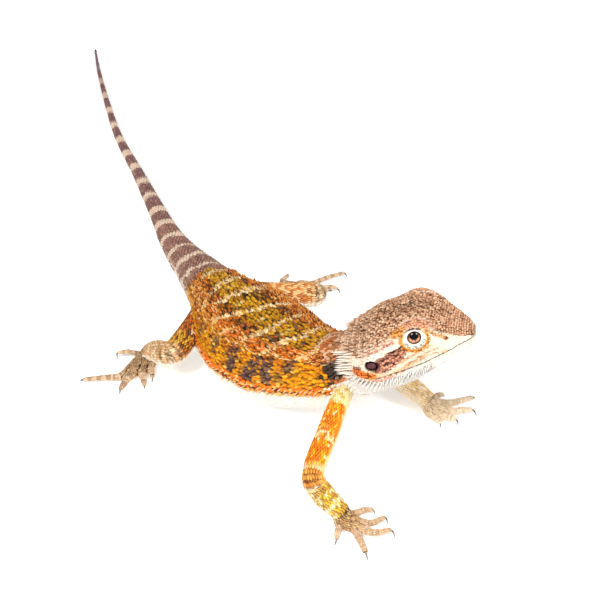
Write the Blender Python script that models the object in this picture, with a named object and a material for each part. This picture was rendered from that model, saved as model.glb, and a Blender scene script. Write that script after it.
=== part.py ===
"""A young central bearded dragon as a still, life-size museum model, in an alert standing pose.

Lengths are in millimetres in the tables and functions, and become metres when a mesh is made.
+X runs forward along the trunk, +Y to the animal's left and +Z up from the floor.
The origin is on the floor, under the flat of the belly that the animal rests on.
"""

import math
import random

import bmesh
import bpy
import numpy as np
from mathutils import Matrix, Vector
from mathutils.bvhtree import BVHTree

MM = 0.001
GAP = 0.3
FLOOR = 0.0
SPINE_SINK = 0.15
CUT_GAP = GAP + 0.05
SPINE_RADIUS = 0.46

# Body line from tail tip to shoulders: x, y, z of the widest line, half width, height above that line
# and depth below it.
BODY = [
    (-187.0, 44.0, 0.55, 0.45, 0.45, 0.60),
    (-172.0, 37.7, 0.80, 0.80, 0.80, 0.95),
    (-150.0, 29.6, 1.05, 1.15, 1.10, 1.25),
    (-127.0, 22.1, 1.35, 1.50, 1.40, 1.60),
    (-102.2, 16.4, 1.85, 2.05, 1.90, 2.10),
    (-77.2, 10.2, 2.60, 3.00, 2.70, 2.85),
    (-63.2, 6.6, 3.50, 3.95, 3.40, 3.60),
    (-51.1, 4.3, 4.90, 5.15, 4.10, 4.30),
    (-39.0, 2.7, 6.80, 6.65, 5.00, 5.40),
    (-28.5, 1.2, 8.40, 8.20, 6.20, 6.40),
    (-19.0, 0.1, 9.60, 10.30, 8.00, 7.60),
    (-8.0, -0.8, 10.20, 15.00, 9.80, 10.15),
    (4.0, -1.4, 10.50, 17.60, 10.80, 11.30),
    (15.5, -0.8, 12.00, 16.60, 11.00, 11.60),
    (26.0, 2.2, 14.60, 13.60, 10.40, 10.20),
    (34.0, 6.0, 17.00, 10.60, 9.00, 8.60),
    (38.5, 9.0, 18.20, 7.20, 6.60, 6.40),
]
TORSO_RINGS, TORSO_SIDES = 20, 24
TAIL_SIDES = 16
TAIL_TIP, TAIL_JOIN_1, TAIL_JOIN_2, VENT, CHEST_END = 0.0, 3.4, 6.0, 8.7, 16.0

# Head along its own axis from the nape to the snout: x, half width, top, bottom, height of the widest line,
# and how round the crown is.
HEAD = [
    (-5.0, 5.5, 3.5, -5.0, -0.5, 1.00),
    (-3.2, 9.0, 6.2, -6.8, -1.0, 1.00),
    (0.5, 12.0, 8.2, -8.1, -1.6, 0.95),
    (4.5, 13.0, 10.6, -8.5, -1.8, 0.92),
    (9.0, 12.2, 11.8, -8.8, -1.2, 0.85),
    (13.5, 10.9, 13.0, -7.9, -0.4, 0.76),
    (17.5, 9.4, 12.7, -6.3, 0.2, 0.74),
    (21.5, 7.8, 10.7, -4.2, 0.6, 0.78),
    (25.0, 6.3, 8.9, -2.4, 1.2, 0.80),
    (27.6, 4.9, 7.3, -1.0, 1.8, 0.85),
    (29.3, 3.3, 5.9, 0.0, 2.2, 0.95),
    (30.1, 1.2, 4.2, 1.2, 2.5, 1.00),
]
HEAD_RINGS, HEAD_SIDES = 22, 24
JAW_RINGS, JAW_SIDES = 18, 22
HEAD_AT = (40.5, 9.5, 29.0)
HEAD_YAW, HEAD_PITCH, HEAD_ROLL = 47.8, 10.1, -6.3
# Swellings of the head: x, angle from the crown in degrees, reach along x, reach in angle, height.
HEAD_SWELLS = [
    (15.5, 48.0, 6.0, 17.0, 2.20),
    (21.5, 44.0, 4.6, 16.0, 1.45),
    (5.5, 55.0, 4.5, 20.0, 0.60),
    (3.0, 108.0, 4.5, 22.0, 0.70),
    (15.2, 75.0, 4.6, 13.0, -0.75),
    (22.5, 0.0, 4.0, 18.0, -0.35),
]
EYE_AT, EYE_RADIUS, LID_THICKNESS, LID_OPENING = (14.9, 7.0, 7.3), 3.15, 0.7, 2.0
EYE_LOOK = (0.22, 0.93, 0.28)
EAR_AT, EAR_DEPTH, EAR_LONG, EAR_TALL = (3.6, 12.8, 1.4), 1.7, 2.0, 1.45
NOSTRIL_AT, NOSTRIL_RADIUS = (23.2, 6.4, 5.5), 0.62
# The line of the mouth, from behind the jaw to the snout: x, z.
MOUTH = [
    (-9.0, -3.2),
    (0.0, -3.0),
    (5.0, -2.2),
    (9.0, -1.5),
    (13.0, -0.9),
    (18.0, 0.1),
    (23.5, 1.7),
    (27.0, 2.8),
    (30.0, 3.2),
    (34.0, 3.4),
]
NECK = [(31.0, 4.6, 16.5), (36.5, 7.2, 20.5), (40.0, 9.4, 25.5), (42.5, 11.4, 30.0)]
NECK_RADII = [9.6, 9.4, 8.4, 7.4]

# Each limb: root, middle, elbow or knee, middle, wrist or ankle, then the radii along each of its halves.
ARM_RIGHT = [
    (43.0, 1.0, 18.5),
    (52.0, -9.8, 16.3),
    (61.0, -20.5, 13.7),
    (63.8, -19.7, 8.7),
    (68.4, -16.6, 3.9),
]
ARM_LEFT = [
    (34.6, 13.6, 17.0),
    (34.4, 18.8, 12.6),
    (34.1, 23.5, 8.4),
    (39.6, 26.0, 6.0),
    (44.7, 28.5, 3.7),
]
LEG_RIGHT = [
    (-18.0, -5.4, 9.9),
    (-10.8, -15.4, 10.6),
    (-4.7, -25.2, 10.4),
    (-11.4, -26.4, 7.2),
    (-17.1, -26.5, 3.7),
]
LEG_LEFT = [
    (-18.6, 5.5, 9.8),
    (-12.4, 14.8, 10.0),
    (-6.5, 23.8, 9.9),
    (-12.6, 25.0, 6.6),
    (-18.8, 27.0, 3.7),
]
ARM_RADII, FOREARM_RADII = (2.9, 3.1, 3.0), (3.1, 3.2, 2.7)
THIGH_RADII, SHANK_RADII = (4.4, 3.6, 3.6), (3.9, 3.4, 2.3)

# Digits, the innermost first: x and y of the knuckle, the bend, the end and the claw's tip, then the
# heights of the bend and the end, and the radius.
HAND_RIGHT = [
    (68.8, -12.4, 69.7, -10.3, 70.0, -8.0, 70.8, -7.6, 2.3, 1.5, 0.95),
    (72.1, -12.8, 74.6, -11.1, 74.5, -7.3, 75.8, -7.1, 2.2, 2.0, 1.0),
    (74.4, -14.1, 77.7, -12.4, 78.8, -8.6, 80.8, -8.3, 2.0, 1.8, 1.05),
    (73.4, -15.8, 77.6, -17.0, 81.5, -18.0, 83.4, -18.6, 1.9, 1.6, 1.05),
    (70.3, -18.4, 72.2, -20.2, 73.4, -21.3, 74.3, -22.7, 1.8, 1.3, 0.95),
]
FOOT_RIGHT = [
    (-12.3, -28.7, -9.8, -29.6, -9.1, -29.9, -7.7, -30.9, 1.7, 1.0, 0.9),
    (-11.1, -32.0, -8.3, -33.1, -7.2, -33.6, -6.4, -34.1, 1.8, 1.1, 1.0),
    (-11.9, -36.5, -9.9, -38.7, -9.1, -40.1, -8.0, -41.1, 1.7, 1.2, 1.05),
    (-13.8, -37.6, -15.4, -41.5, -18.8, -46.7, -19.8, -47.7, 1.5, 0.8, 0.98),
    (-19.7, -28.4, -21.1, -31.1, -22.7, -33.4, -21.9, -34.1, 2.5, 2.2, 0.85),
]
HAND_LEFT = [
    (42.9, 32.2, 43.3, 33.3, 43.1, 35.0, 42.9, 35.8, 2.2, 1.5, 0.95),
    (47.0, 34.3, 48.5, 37.0, 48.4, 41.3, 48.1, 42.9, 2.1, 1.2, 1.0),
    (50.3, 33.1, 51.8, 35.1, 52.9, 37.7, 54.8, 38.2, 2.1, 1.8, 1.05),
    (50.8, 30.1, 52.7, 30.6, 53.5, 31.6, 55.1, 31.4, 2.0, 1.7, 1.05),
    (49.6, 27.3, 51.2, 27.3, 51.8, 27.6, 52.8, 26.9, 1.6, 1.1, 0.9),
]
FOOT_LEFT = [
    (-15.9, 30.0, -15.0, 30.8, -14.1, 31.3, -12.9, 31.6, 1.7, 1.0, 0.95),
    (-16.3, 31.8, -15.5, 33.2, -15.8, 35.0, -15.4, 36.5, 1.7, 1.0, 1.0),
    (-17.3, 33.2, -15.3, 35.8, -14.6, 37.4, -13.0, 37.7, 2.2, 1.5, 0.8),
    (-20.6, 33.1, -19.6, 37.3, -19.9, 43.5, -18.6, 44.2, 2.4, 1.5, 0.82),
    (-26.5, 25.3, -27.2, 26.7, -28.9, 28.9, -30.1, 30.0, 1.7, 0.9, 0.75),
]
WRIST_DROP, PALM_HEIGHT, KNUCKLE_HEIGHT, PALM_FLATTEN = 0.6, 1.5, 1.35, 0.9
# Radii along a digit: at the wrist and in the palm, then as shares of its own radius.
PALM_RADII, DIGIT_TAPER = (2.4, 2.0), (1.25, 1.0, 0.75)
CLAW_RADIUS, CLAW_TAPER, CLAW_ARCH, CLAW_HEIGHT = 0.46, (1.0, 0.82, 0.52, 0.16), 0.55, 0.12


# Materials, as the photograph shows them.
COLOURS = {
    "head_skin": (0.52, 0.33, 0.22, 0.75),
    "jaw_skin": (0.86, 0.74, 0.60, 0.75),
    "back_skin": (0.55, 0.30, 0.07, 0.75),
    "neck_skin": (0.62, 0.38, 0.20, 0.75),
    "tail_skin": (0.48, 0.33, 0.27, 0.75),
    "limb_skin": (0.72, 0.36, 0.10, 0.75),
    "foot_skin": (0.60, 0.47, 0.30, 0.75),
    "eye": (0.06, 0.03, 0.02, 0.12),
    "eardrum": (0.16, 0.07, 0.08, 0.5),
    "claw": (0.10, 0.08, 0.09, 0.35),
}


def make_materials():
    made = {}
    for name, (red, green, blue, roughness) in COLOURS.items():
        material = bpy.data.materials.new(name)
        material.use_nodes = True
        shader = material.node_tree.nodes["Principled BSDF"]
        shader.inputs["Base Color"].default_value = (red, green, blue, 1.0)
        shader.inputs["Roughness"].default_value = roughness
        shader.inputs["Metallic"].default_value = 0.0
        made[name] = material
    return made


def unit(vector):
    vector = np.asarray(vector, float)
    return vector / np.linalg.norm(vector)


def through(rows, t):
    """A smooth curve through the rows, read at t, where row n is at t = n."""
    rows = np.asarray(rows, float)
    last = len(rows) - 1
    k = min(max(int(math.floor(t)), 0), last - 1)
    f = t - k
    p1, p2 = rows[k], rows[k + 1]
    p0 = rows[k - 1] if k > 0 else 2 * p1 - p2
    p3 = rows[k + 2] if k + 2 <= last else 2 * p2 - p1
    bend = 2 * p0 - 5 * p1 + 4 * p2 - p3
    twist = 3 * p1 - p0 - 3 * p2 + p3
    return p1 + 0.5 * f * ((p2 - p0) + f * (bend + f * twist))


def signed_power(value, power):
    return math.copysign(abs(value) ** power, value)


def body_frame(t):
    """Centre, left, up and sizes of the body at t."""
    row = through(BODY, t)
    step = 0.02
    along = unit(through(BODY, t + step)[:3] - through(BODY, t - step)[:3])
    left = unit(np.cross((0, 0, 1), along))
    return row[:3], left, np.cross(along, left), row[3:]


def body_point(t, angle, extra=0.0):
    """A point of the body's skin. The angle is in radians from the back, towards the left."""
    centre, left, up, (width, top, bottom) = body_frame(t)
    across, high = math.sin(angle), math.cos(angle)
    roundness = 0.86 if high < 0 else 0.94
    height = (top if high > 0 else bottom) + extra
    sideways = left * (width + extra) * signed_power(across, 0.92)
    point = centre + sideways + up * height * signed_power(high, roundness)
    point[2] = max(point[2], FLOOR)
    return point


def head_matrix():
    turn = Matrix.Rotation(math.radians(HEAD_YAW), 3, "Z")
    nod = Matrix.Rotation(math.radians(-HEAD_PITCH), 3, "Y")
    tilt = Matrix.Rotation(math.radians(HEAD_ROLL), 3, "X")
    return np.array(turn @ nod @ tilt)


HEAD_TURN = head_matrix()


def head_to_row(point):
    return HEAD_TURN @ np.asarray(point, float) + np.asarray(HEAD_AT)


def head_local(t, angle, extra=0.0):
    """A point of the head's skin in the head's own axes, at row t of the head's table."""
    x, width, top, bottom, level, roundness = through(HEAD, t)
    across, high = math.sin(angle), math.cos(angle)
    reach = (top - level) if high > 0 else (level - bottom)
    y = (width + extra) * signed_power(across, roundness if high > 0 else 0.90)
    z = level + (reach + extra) * signed_power(high, roundness if high > 0 else 0.80)
    degrees = abs(math.degrees(math.atan2(math.sin(angle), math.cos(angle))))
    swell = sum(
        height * math.exp(-(((x - at) / long) ** 2) - ((degrees - mid) / wide) ** 2)
        for at, mid, long, wide, height in HEAD_SWELLS
    )
    out = unit((0.0, across * reach, high * width))
    return np.array((x, y, z)) + out * swell


def head_point(t, angle, extra=0.0):
    return head_to_row(head_local(t, angle, extra))


def normal_of(surface, t, angle):
    """The direction out of the skin and the one forward along it."""
    step = 0.03
    along = surface(t + step, angle) - surface(t - step, angle)
    around = surface(t, angle + step) - surface(t, angle - step)
    return unit(np.cross(along, around)), unit(along)


def shelf(name):
    """The collection of this name, made where it isn't there yet."""
    if name not in bpy.data.collections:
        bpy.context.scene.collection.children.link(bpy.data.collections.new(name))
    return bpy.data.collections[name]


def nodes():
    return list(shelf("bearded_dragon").objects)


def object_from(name, shape, material=None):
    """An object made from a bmesh: a node where it has a material, otherwise a shape for a Boolean."""
    bmesh.ops.recalc_face_normals(shape, faces=shape.faces)
    mesh = bpy.data.meshes.new(name)
    shape.to_mesh(mesh)
    shape.free()
    obj = bpy.data.objects.new(name, mesh)
    if material is None:
        shelf("cutters").objects.link(obj)
    else:
        mesh.materials.append(material)
        shelf("bearded_dragon").objects.link(obj)
    return obj


def mesh_object(name, verts, faces, material=None):
    shape = bmesh.new()
    made = [shape.verts.new([float(c) * MM for c in v]) for v in verts]
    for face in faces:
        shape.faces.new([made[i] for i in face])
    return object_from(name, shape, material)


def loft(name, rings, material=None):
    """A closed skin over rings that have as many points each, with flat ends."""
    count = len(rings[0])
    verts = [p for ring in rings for p in ring]
    faces = []
    for i in range(len(rings) - 1):
        for j in range(count):
            k = (j + 1) % count
            faces.append((i * count + j, i * count + k, (i + 1) * count + k, (i + 1) * count + j))
    faces.append(tuple(reversed(range(count))))
    last = (len(rings) - 1) * count
    faces.append(tuple(last + j for j in range(count)))
    return mesh_object(name, verts, faces, material)


def angles(count):
    return [2 * math.pi * j / count for j in range(count)]


def body_length(name, start, end, rings, count, material=None, extra=0.0):
    ts = np.linspace(start, end, rings)
    return loft(name, [[body_point(t, a, extra) for a in angles(count)] for t in ts], material)


def bent_rod(name, points, radii, count, material=None, flatten=1.0, rings=7, extra=0.0, round_ends=True):
    """A round or flattened rod through the points, with rounded or flat ends."""
    points = np.asarray(points, float)
    radii = np.asarray(radii, float)
    rows = np.column_stack([points, radii])
    last = len(rows) - 1
    ts = np.linspace(0, last, rings)
    made = []
    for t in ts:
        row = through(rows, t)
        along = unit(through(rows[:, :3], min(t + 0.05, last)) - through(rows[:, :3], max(t - 0.05, 0)))
        made.append((row[:3], along, row[3] + extra))
    if round_ends:
        for end, sign in ((0, -1), (-1, 1)):
            centre, along, radius = made[end]
            for share in (0.45, 0.80, 0.97):
                small = radius * math.sqrt(1 - share**2)
                piece = (centre + along * sign * radius * share, along, small)
                if end == 0:
                    made.insert(0, piece)
                else:
                    made.append(piece)
    side = unit(np.cross((0, 0, 1), made[len(made) // 2][1]))
    found = []
    for centre, along, radius in made:
        left = unit(side - along * (side @ along))
        up = np.cross(along, left)
        ring = []
        for a in angles(count):
            point = centre + left * radius * math.sin(a) + up * radius * flatten * math.cos(a)
            point[2] = max(point[2], FLOOR)
            ring.append(point)
        found.append(ring)
    return loft(name, found, material)


def ellipsoid(name, centre, radii, turn=None, segments=16, rings=10, material=None):
    basis = np.eye(3) if turn is None else turn
    rows = [[*(basis[i] * radii * MM), centre[i] * MM] for i in range(3)]
    place = Matrix(rows + [[0, 0, 0, 1]])
    shape = bmesh.new()
    bmesh.ops.create_uvsphere(shape, u_segments=segments, v_segments=rings, radius=1.0, matrix=place)
    return object_from(name, shape, material)


def axes_for(direction):
    """Three unit axes, as columns, with the third along direction."""
    third = unit(direction)
    first = unit(np.cross((0.0, 0.0, 1.0), third)) if abs(third[2]) < 0.95 else np.array((1.0, 0.0, 0.0))
    second = np.cross(third, first)
    return np.column_stack([first, second, third])


def remove(obj):
    bpy.data.objects.remove(obj)


def keep_largest(obj):
    """Leaves only the closed surface that holds the most."""
    shape = bmesh.new()
    shape.from_mesh(obj.data)
    shape.faces.ensure_lookup_table()
    seen, groups = set(), []
    for face in shape.faces:
        if face.index in seen:
            continue
        group, stack = [], [face]
        seen.add(face.index)
        while stack:
            here = stack.pop()
            group.append(here)
            for edge in here.edges:
                for other in edge.link_faces:
                    if other.index not in seen:
                        seen.add(other.index)
                        stack.append(other)
        groups.append(group)
    if len(groups) > 1:
        def held(group):
            total = 0.0
            for face in group:
                first = face.verts[0].co
                for a, b in zip(face.verts[1:], face.verts[2:]):
                    total += first.dot(a.co.cross(b.co))
            return abs(total)

        groups.sort(key=held)
        loose = [face for group in groups[:-1] for face in group]
        bmesh.ops.delete(shape, geom=loose, context="FACES")
        lone = [v for v in shape.verts if not v.link_faces]
        bmesh.ops.delete(shape, geom=lone, context="VERTS")
    shape.to_mesh(obj.data)
    shape.free()


def bake_modifier(obj, modifier):
    graph = bpy.context.evaluated_depsgraph_get()
    made = bpy.data.meshes.new_from_object(obj.evaluated_get(graph))
    obj.modifiers.remove(modifier)
    old = obj.data
    obj.data = made
    bpy.data.meshes.remove(old)


def cut(obj, cutters):
    """Takes the cutters' shapes out of obj and removes them."""
    for cutter in cutters:
        modifier = obj.modifiers.new("cut", "BOOLEAN")
        modifier.operation = "DIFFERENCE"
        modifier.solver = "MANIFOLD"
        modifier.object = cutter
        bake_modifier(obj, modifier)
        remove(cutter)
    keep_largest(obj)
    return obj


def join(obj, pieces):
    """Fuses the pieces with obj in one union and removes them."""
    group = shelf(obj.name + "_pieces")
    for piece in pieces:
        shelf("cutters").objects.unlink(piece)
        group.objects.link(piece)
    modifier = obj.modifiers.new("join", "BOOLEAN")
    modifier.operation = "UNION"
    modifier.solver = "MANIFOLD"
    modifier.operand_type = "COLLECTION"
    modifier.collection = group
    bake_modifier(obj, modifier)
    for piece in pieces:
        remove(piece)
    bpy.data.collections.remove(group)
    keep_largest(obj)
    return obj


def cone_of(base, normal, way, length, radius):
    """Start, end and root radius of a spine whose whole root lies under the skin."""
    rise = max(float(way @ normal), 0.25)
    level = math.sqrt(max(1 - rise * rise, 0.0))
    sunk = (radius * level + SPINE_SINK) / rise
    end = base + way * length
    end[2] = max(end[2], FLOOR + 0.2)
    return base - way * sunk, end, radius * (sunk + length) / length


def spine(start, end, radius):
    """A four-sided cone from its root to its tip."""
    axes = axes_for(end - start)
    middle = (start + end) / 2 * MM
    place = Matrix([[*axes[i], middle[i]] for i in range(3)] + [[0, 0, 0, 1]])
    depth = float(np.linalg.norm(end - start)) * MM
    shape = bmesh.new()
    bmesh.ops.create_cone(
        shape, cap_ends=True, segments=4, radius1=radius * MM, radius2=0, depth=depth, matrix=place
    )
    return object_from("spine", shape)


def body_way(normal, along, angle, lift, lean):
    """Backwards along the body at the lift's angle, and leaning down the flank."""
    down = np.cross(normal, along) * (1 if math.sin(angle) > 0 else -1)
    lie = unit(-along + lean * down)
    return unit(lie * math.cos(math.radians(lift)) + normal * math.sin(math.radians(lift)))


def head_way(normal, along, angle, lift, lean):
    """Backwards in the head's own axes, spread outwards by the lift's angle, and leaning down."""
    back, out = math.cos(math.radians(lift)), math.sin(math.radians(lift))
    return HEAD_TURN @ unit((-back, out * math.sin(angle), out * math.cos(angle) - lean))


def is_inside(point, tree):
    """True where a straight line out of the point crosses the tree's surface an odd number of times."""
    way = Vector((0.31, 0.22, 0.925))
    start, crossings = point, 0
    while crossings < 20:
        hit = tree.ray_cast(start, way)[0]
        if hit is None:
            break
        crossings += 1
        start = hit + way * 1e-6
    return crossings % 2 == 1


def is_clear(start, end, radius, trees):
    """True where a spine keeps a gap to every other node."""
    for share in (0.0, 0.2, 0.4, 0.6, 0.8, 1.0):
        point = Vector((start + (end - start) * share) * MM)
        room = (radius * (1 - share) + GAP) * MM
        for tree in trees:
            if tree.find_nearest(point)[3] < room or is_inside(point, tree):
                return False
    return True


def trees_beside(node):
    """Search trees of every node but this one."""
    trees = []
    for other in nodes():
        if other is not node:
            shape = bmesh.new()
            shape.from_mesh(other.data)
            trees.append(BVHTree.FromBMesh(shape))
            shape.free()
    return trees


def grow(node, surface, find_way, places, draw):
    """Fuses spines with a node. Each place is t, angle, length, radius, lift and lean."""
    trees = trees_beside(node)
    made = []
    for t, angle, length, radius, lift, lean in places:
        normal, along = normal_of(surface, t, angle)
        base = surface(t, angle)
        long = length * (1 + draw.uniform(-0.12, 0.12))
        way = find_way(normal, along, angle, lift, lean)
        cone = cone_of(base, normal, way, long, radius)
        if is_clear(*cone, trees):
            made.append(spine(*cone))
    join(node, made)


def torso_spine_places(draw):
    """Fringe along each flank, clusters above it and spiny bars over the back."""
    fringe_count, cluster_count, bar_half_count = 26, 24, 3
    fringe_from, cluster_from, spread = 9.9, 9.6, 5.2
    bars = (9.3, 10.2, 11.15, 12.1, 13.05, 14.0, 14.9)
    places = []
    for side in (1, -1):
        for n in range(fringe_count):
            t = fringe_from + spread * n / (fringe_count - 1)
            degrees = 93 + 9 * (n % 2)
            places.append((t, side * math.radians(degrees), 2.0, SPINE_RADIUS, 24, 0.45))
        for n in range(cluster_count):
            t = cluster_from + spread * n / (cluster_count - 1)
            degrees = 56 + 12 * ((n * 5) % 3)
            places.append((t, side * math.radians(degrees), 1.4, SPINE_RADIUS, 36, 0.2))
    for bar in bars:
        for n in range(-bar_half_count, bar_half_count + 1):
            degrees = 12.0 * n + draw.uniform(-2, 2)
            places.append((bar - 0.05 * abs(n), math.radians(degrees), 1.2, SPINE_RADIUS, 36, 0.0))
    return places


def tail_spine_places():
    """Rings of spines over the root of the tail, smaller towards its tip."""
    places = []
    for ring in range(6):
        t = 8.45 - 0.4 * ring
        size = 0.5 + 0.5 * (t - TAIL_JOIN_2) / 2.5
        for n in range(-3, 4):
            radius = 0.04 + SPINE_RADIUS * size
            places.append((t, math.radians(24.0 * n), 1.2 * size, radius, 30, 0.0))
    return places


def nape_and_jaw_places():
    """Two rows of spines round the back of the skull and a cluster at each rear corner."""
    places = []
    for side in (1, -1):
        for n in range(9):
            degrees = 6 + 11.5 * n
            corner = max(0.0, (degrees - 50) / 48)
            t, length = 2.0 - 0.25 * corner, 1.4 + 1.4 * corner
            places.append((t, side * math.radians(degrees), length, SPINE_RADIUS, 34, 0.0))
        for n in range(6):
            degrees = 42 + 11 * n
            places.append((2.5, side * math.radians(degrees), 1.3 + 0.18 * n, SPINE_RADIUS, 38, 0.05))
        for degrees, length in ((66, 2.2), (78, 2.6), (90, 2.8)):
            places.append((1.45, side * math.radians(degrees), length, 0.5, 20, 0.0))
    return places


def beard_places():
    """Rows of spines over the throat, longest at the jaw's corner and shortest under the chin."""
    rows = ((106, 2.6), (118, 2.7), (132, 2.6), (147, 2.2), (163, 1.7))
    places = []
    for side in (1, -1):
        for row, (degrees, length) in enumerate(rows):
            for n in range(7):
                t = 1.35 + 0.22 * (row % 2) + 0.62 * n
                size = 1.0 - 0.55 * max(0.0, (t - 2.6) / 2.8)
                places.append((t, side * math.radians(degrees), length * size, SPINE_RADIUS, 52, 0.25))
    return places


def block(name, outline, low_y, high_y):
    """A block whose outline is given as x, z points of the head's side view."""
    count = len(outline)
    verts = [head_to_row((x, y, z)) for y in (low_y, high_y) for x, z in outline]
    faces = [tuple(reversed(range(count))), tuple(range(count, 2 * count))]
    faces += [(j, (j + 1) % count, count + (j + 1) % count, count + j) for j in range(count)]
    return mesh_object(name, verts, faces)


def head_core(name, rings, count, material=None, extra=0.0):
    ts = np.linspace(0, len(HEAD) - 1, rings)
    return loft(name, [[head_point(t, a, extra) for a in angles(count)] for t in ts], material)


def mirrored(point, side):
    return np.array((point[0], point[1] * side, point[2]))


def eye_cutters():
    cutters = []
    for side in (1, -1):
        centre = head_to_row(mirrored(EYE_AT, side))
        look = HEAD_TURN @ unit(mirrored(EYE_LOOK, side))
        cutters.append(ellipsoid("socket", centre, [EYE_RADIUS + GAP] * 3))
        start, end = centre + look * 1.0, centre + look * 6.0
        cutters.append(bent_rod("opening", [start, end], [LID_OPENING] * 2, 14, rings=2, round_ends=False))
    return cutters


def lids():
    """The lids as a dome over each eye, before the socket and the opening are cut."""
    radius = EYE_RADIUS + GAP + LID_THICKNESS
    return [ellipsoid("lid", head_to_row(mirrored(EYE_AT, side)), [radius] * 3) for side in (1, -1)]


def ear_axes(side):
    out = HEAD_TURN @ unit((-0.25, side * 0.95, 0.12))
    long = HEAD_TURN @ unit((1.0, side * 0.25, 0.15))
    long = unit(long - out * (long @ out))
    return np.column_stack([long, np.cross(out, long), out])


def ear_cutters():
    made = []
    for side in (1, -1):
        basis = ear_axes(side)
        centre = head_to_row(mirrored(EAR_AT, side))
        made.append(ellipsoid("ear", centre, (EAR_LONG, EAR_TALL, EAR_DEPTH), basis, 14, 8))
    return made


def nostril_cutters():
    radii = [NOSTRIL_RADIUS, 0.45, 0.9]
    return [
        ellipsoid("nostril", head_to_row(mirrored(NOSTRIL_AT, side)), radii, HEAD_TURN, 8, 6)
        for side in (1, -1)
    ]


def make_head(materials):
    back, front, reach = MOUTH[0][0] - 3.0, MOUTH[-1][0] + 2.0, 25.0
    below = [(x, z + GAP / 2) for x, z in MOUTH] + [(front, -reach), (back, -reach)]
    above = [(x, z - GAP / 2) for x, z in MOUTH] + [(front, reach), (back, reach)]
    head = head_core("head", HEAD_RINGS, HEAD_SIDES, materials["head_skin"])
    cut(head, [block("below", below, -reach, reach)])
    join(head, lids())
    cut(head, eye_cutters() + ear_cutters() + nostril_cutters())
    jaw = head_core("lower_jaw", JAW_RINGS, JAW_SIDES, materials["jaw_skin"])
    cut(jaw, [block("above", above, -reach, reach)])
    for side, word in ((1, "left"), (-1, "right")):
        centre = head_to_row(mirrored(EYE_AT, side))
        turn = axes_for(HEAD_TURN @ unit(mirrored(EYE_LOOK, side)))
        ellipsoid("eye_" + word, centre, [EYE_RADIUS] * 3, turn, 14, 9, materials["eye"])
        basis = ear_axes(side)
        place = head_to_row(mirrored(EAR_AT, side)) - basis[:, 2] * (EAR_DEPTH - 1.05)
        radii = (EAR_LONG - 0.65, EAR_TALL - 0.55, 0.42)
        ellipsoid("eardrum_" + word, place, radii, basis, 10, 5, materials["eardrum"])
    return head, jaw


def torso_shape(name, material=None, extra=0.0):
    return body_length(name, VENT + 0.02, CHEST_END, TORSO_RINGS, TORSO_SIDES, material, extra)


def head_room():
    return head_core("head_room", HEAD_RINGS, HEAD_SIDES, extra=CUT_GAP)


def make_trunk(materials):
    torso = torso_shape("torso", materials["back_skin"])
    cut(torso, [head_room()])
    neck = bent_rod("neck", NECK, NECK_RADII, 20, materials["neck_skin"])
    cut(neck, [torso_shape("torso_room", extra=CUT_GAP), head_room()])
    base = body_length("tail_base", TAIL_JOIN_2 + 0.03, VENT - 0.02, 8, TAIL_SIDES, materials["tail_skin"])
    body_length("tail_middle", TAIL_JOIN_1 + 0.01, TAIL_JOIN_2 - 0.01, 9, 10, materials["tail_skin"])
    body_length("tail_end", TAIL_TIP, TAIL_JOIN_1 - 0.01, 12, 8, materials["tail_skin"])
    return torso, base


def half_limb(name, points, radii, count, material=None, extra=0.0):
    return bent_rod(name, points, radii, count, material, extra=extra, rings=6)


def digit_points(joint, digit):
    """Points from the wrist or ankle through the palm and knuckle, over the bend, to the digit's end."""
    wrist = np.array((*joint[:2], joint[2] - WRIST_DROP))
    knuckle = np.array((*digit[:2], KNUCKLE_HEIGHT))
    palm = np.array((*((wrist + knuckle) / 2)[:2], PALM_HEIGHT))
    bend, end = np.array((*digit[2:4], digit[8])), np.array((*digit[4:6], digit[9]))
    return [wrist, palm, knuckle, bend, end]


def make_foot(name, word, joint, digits, room, materials, claw_prefix):
    """A hand or foot with its five digits as one node, and a claw in a node of its own on each digit."""
    rays = []
    for number, digit in enumerate(digits, 1):
        points = digit_points(joint, digit)
        radii = [*PALM_RADII, *(digit[10] * share for share in DIGIT_TAPER)]
        title, skin = (f"{name}_{word}", materials["foot_skin"]) if number == 1 else ("ray", None)
        rays.append(bent_rod(title, points, radii, 8, skin, PALM_FLATTEN, rings=10, round_ends=False))
        along = unit(points[-1] - points[-2])
        claw_name = f"{claw_prefix}_{word}_{number}"
        make_claw(claw_name, points[-1], along, np.array((*digit[6:8], CLAW_HEIGHT)), materials["claw"])
    foot = rays[0]
    join(foot, rays[1:])
    cut(foot, [room])
    return foot


def make_claw(name, end, along, tip, material):
    """A curved claw that starts one gap past the digit's end and comes down to its tip at the floor."""
    start = end + along * (GAP + 0.02)
    over = start + along * CLAW_ARCH * np.linalg.norm(tip - start)
    points = []
    for share in np.linspace(0, 1, len(CLAW_TAPER)):
        points.append(start * (1 - share) ** 2 + over * 2 * share * (1 - share) + tip * share**2)
    radii = [CLAW_RADIUS * share for share in CLAW_TAPER]
    return bent_rod(name, points, radii, 6, material, rings=6, round_ends=False)


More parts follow.
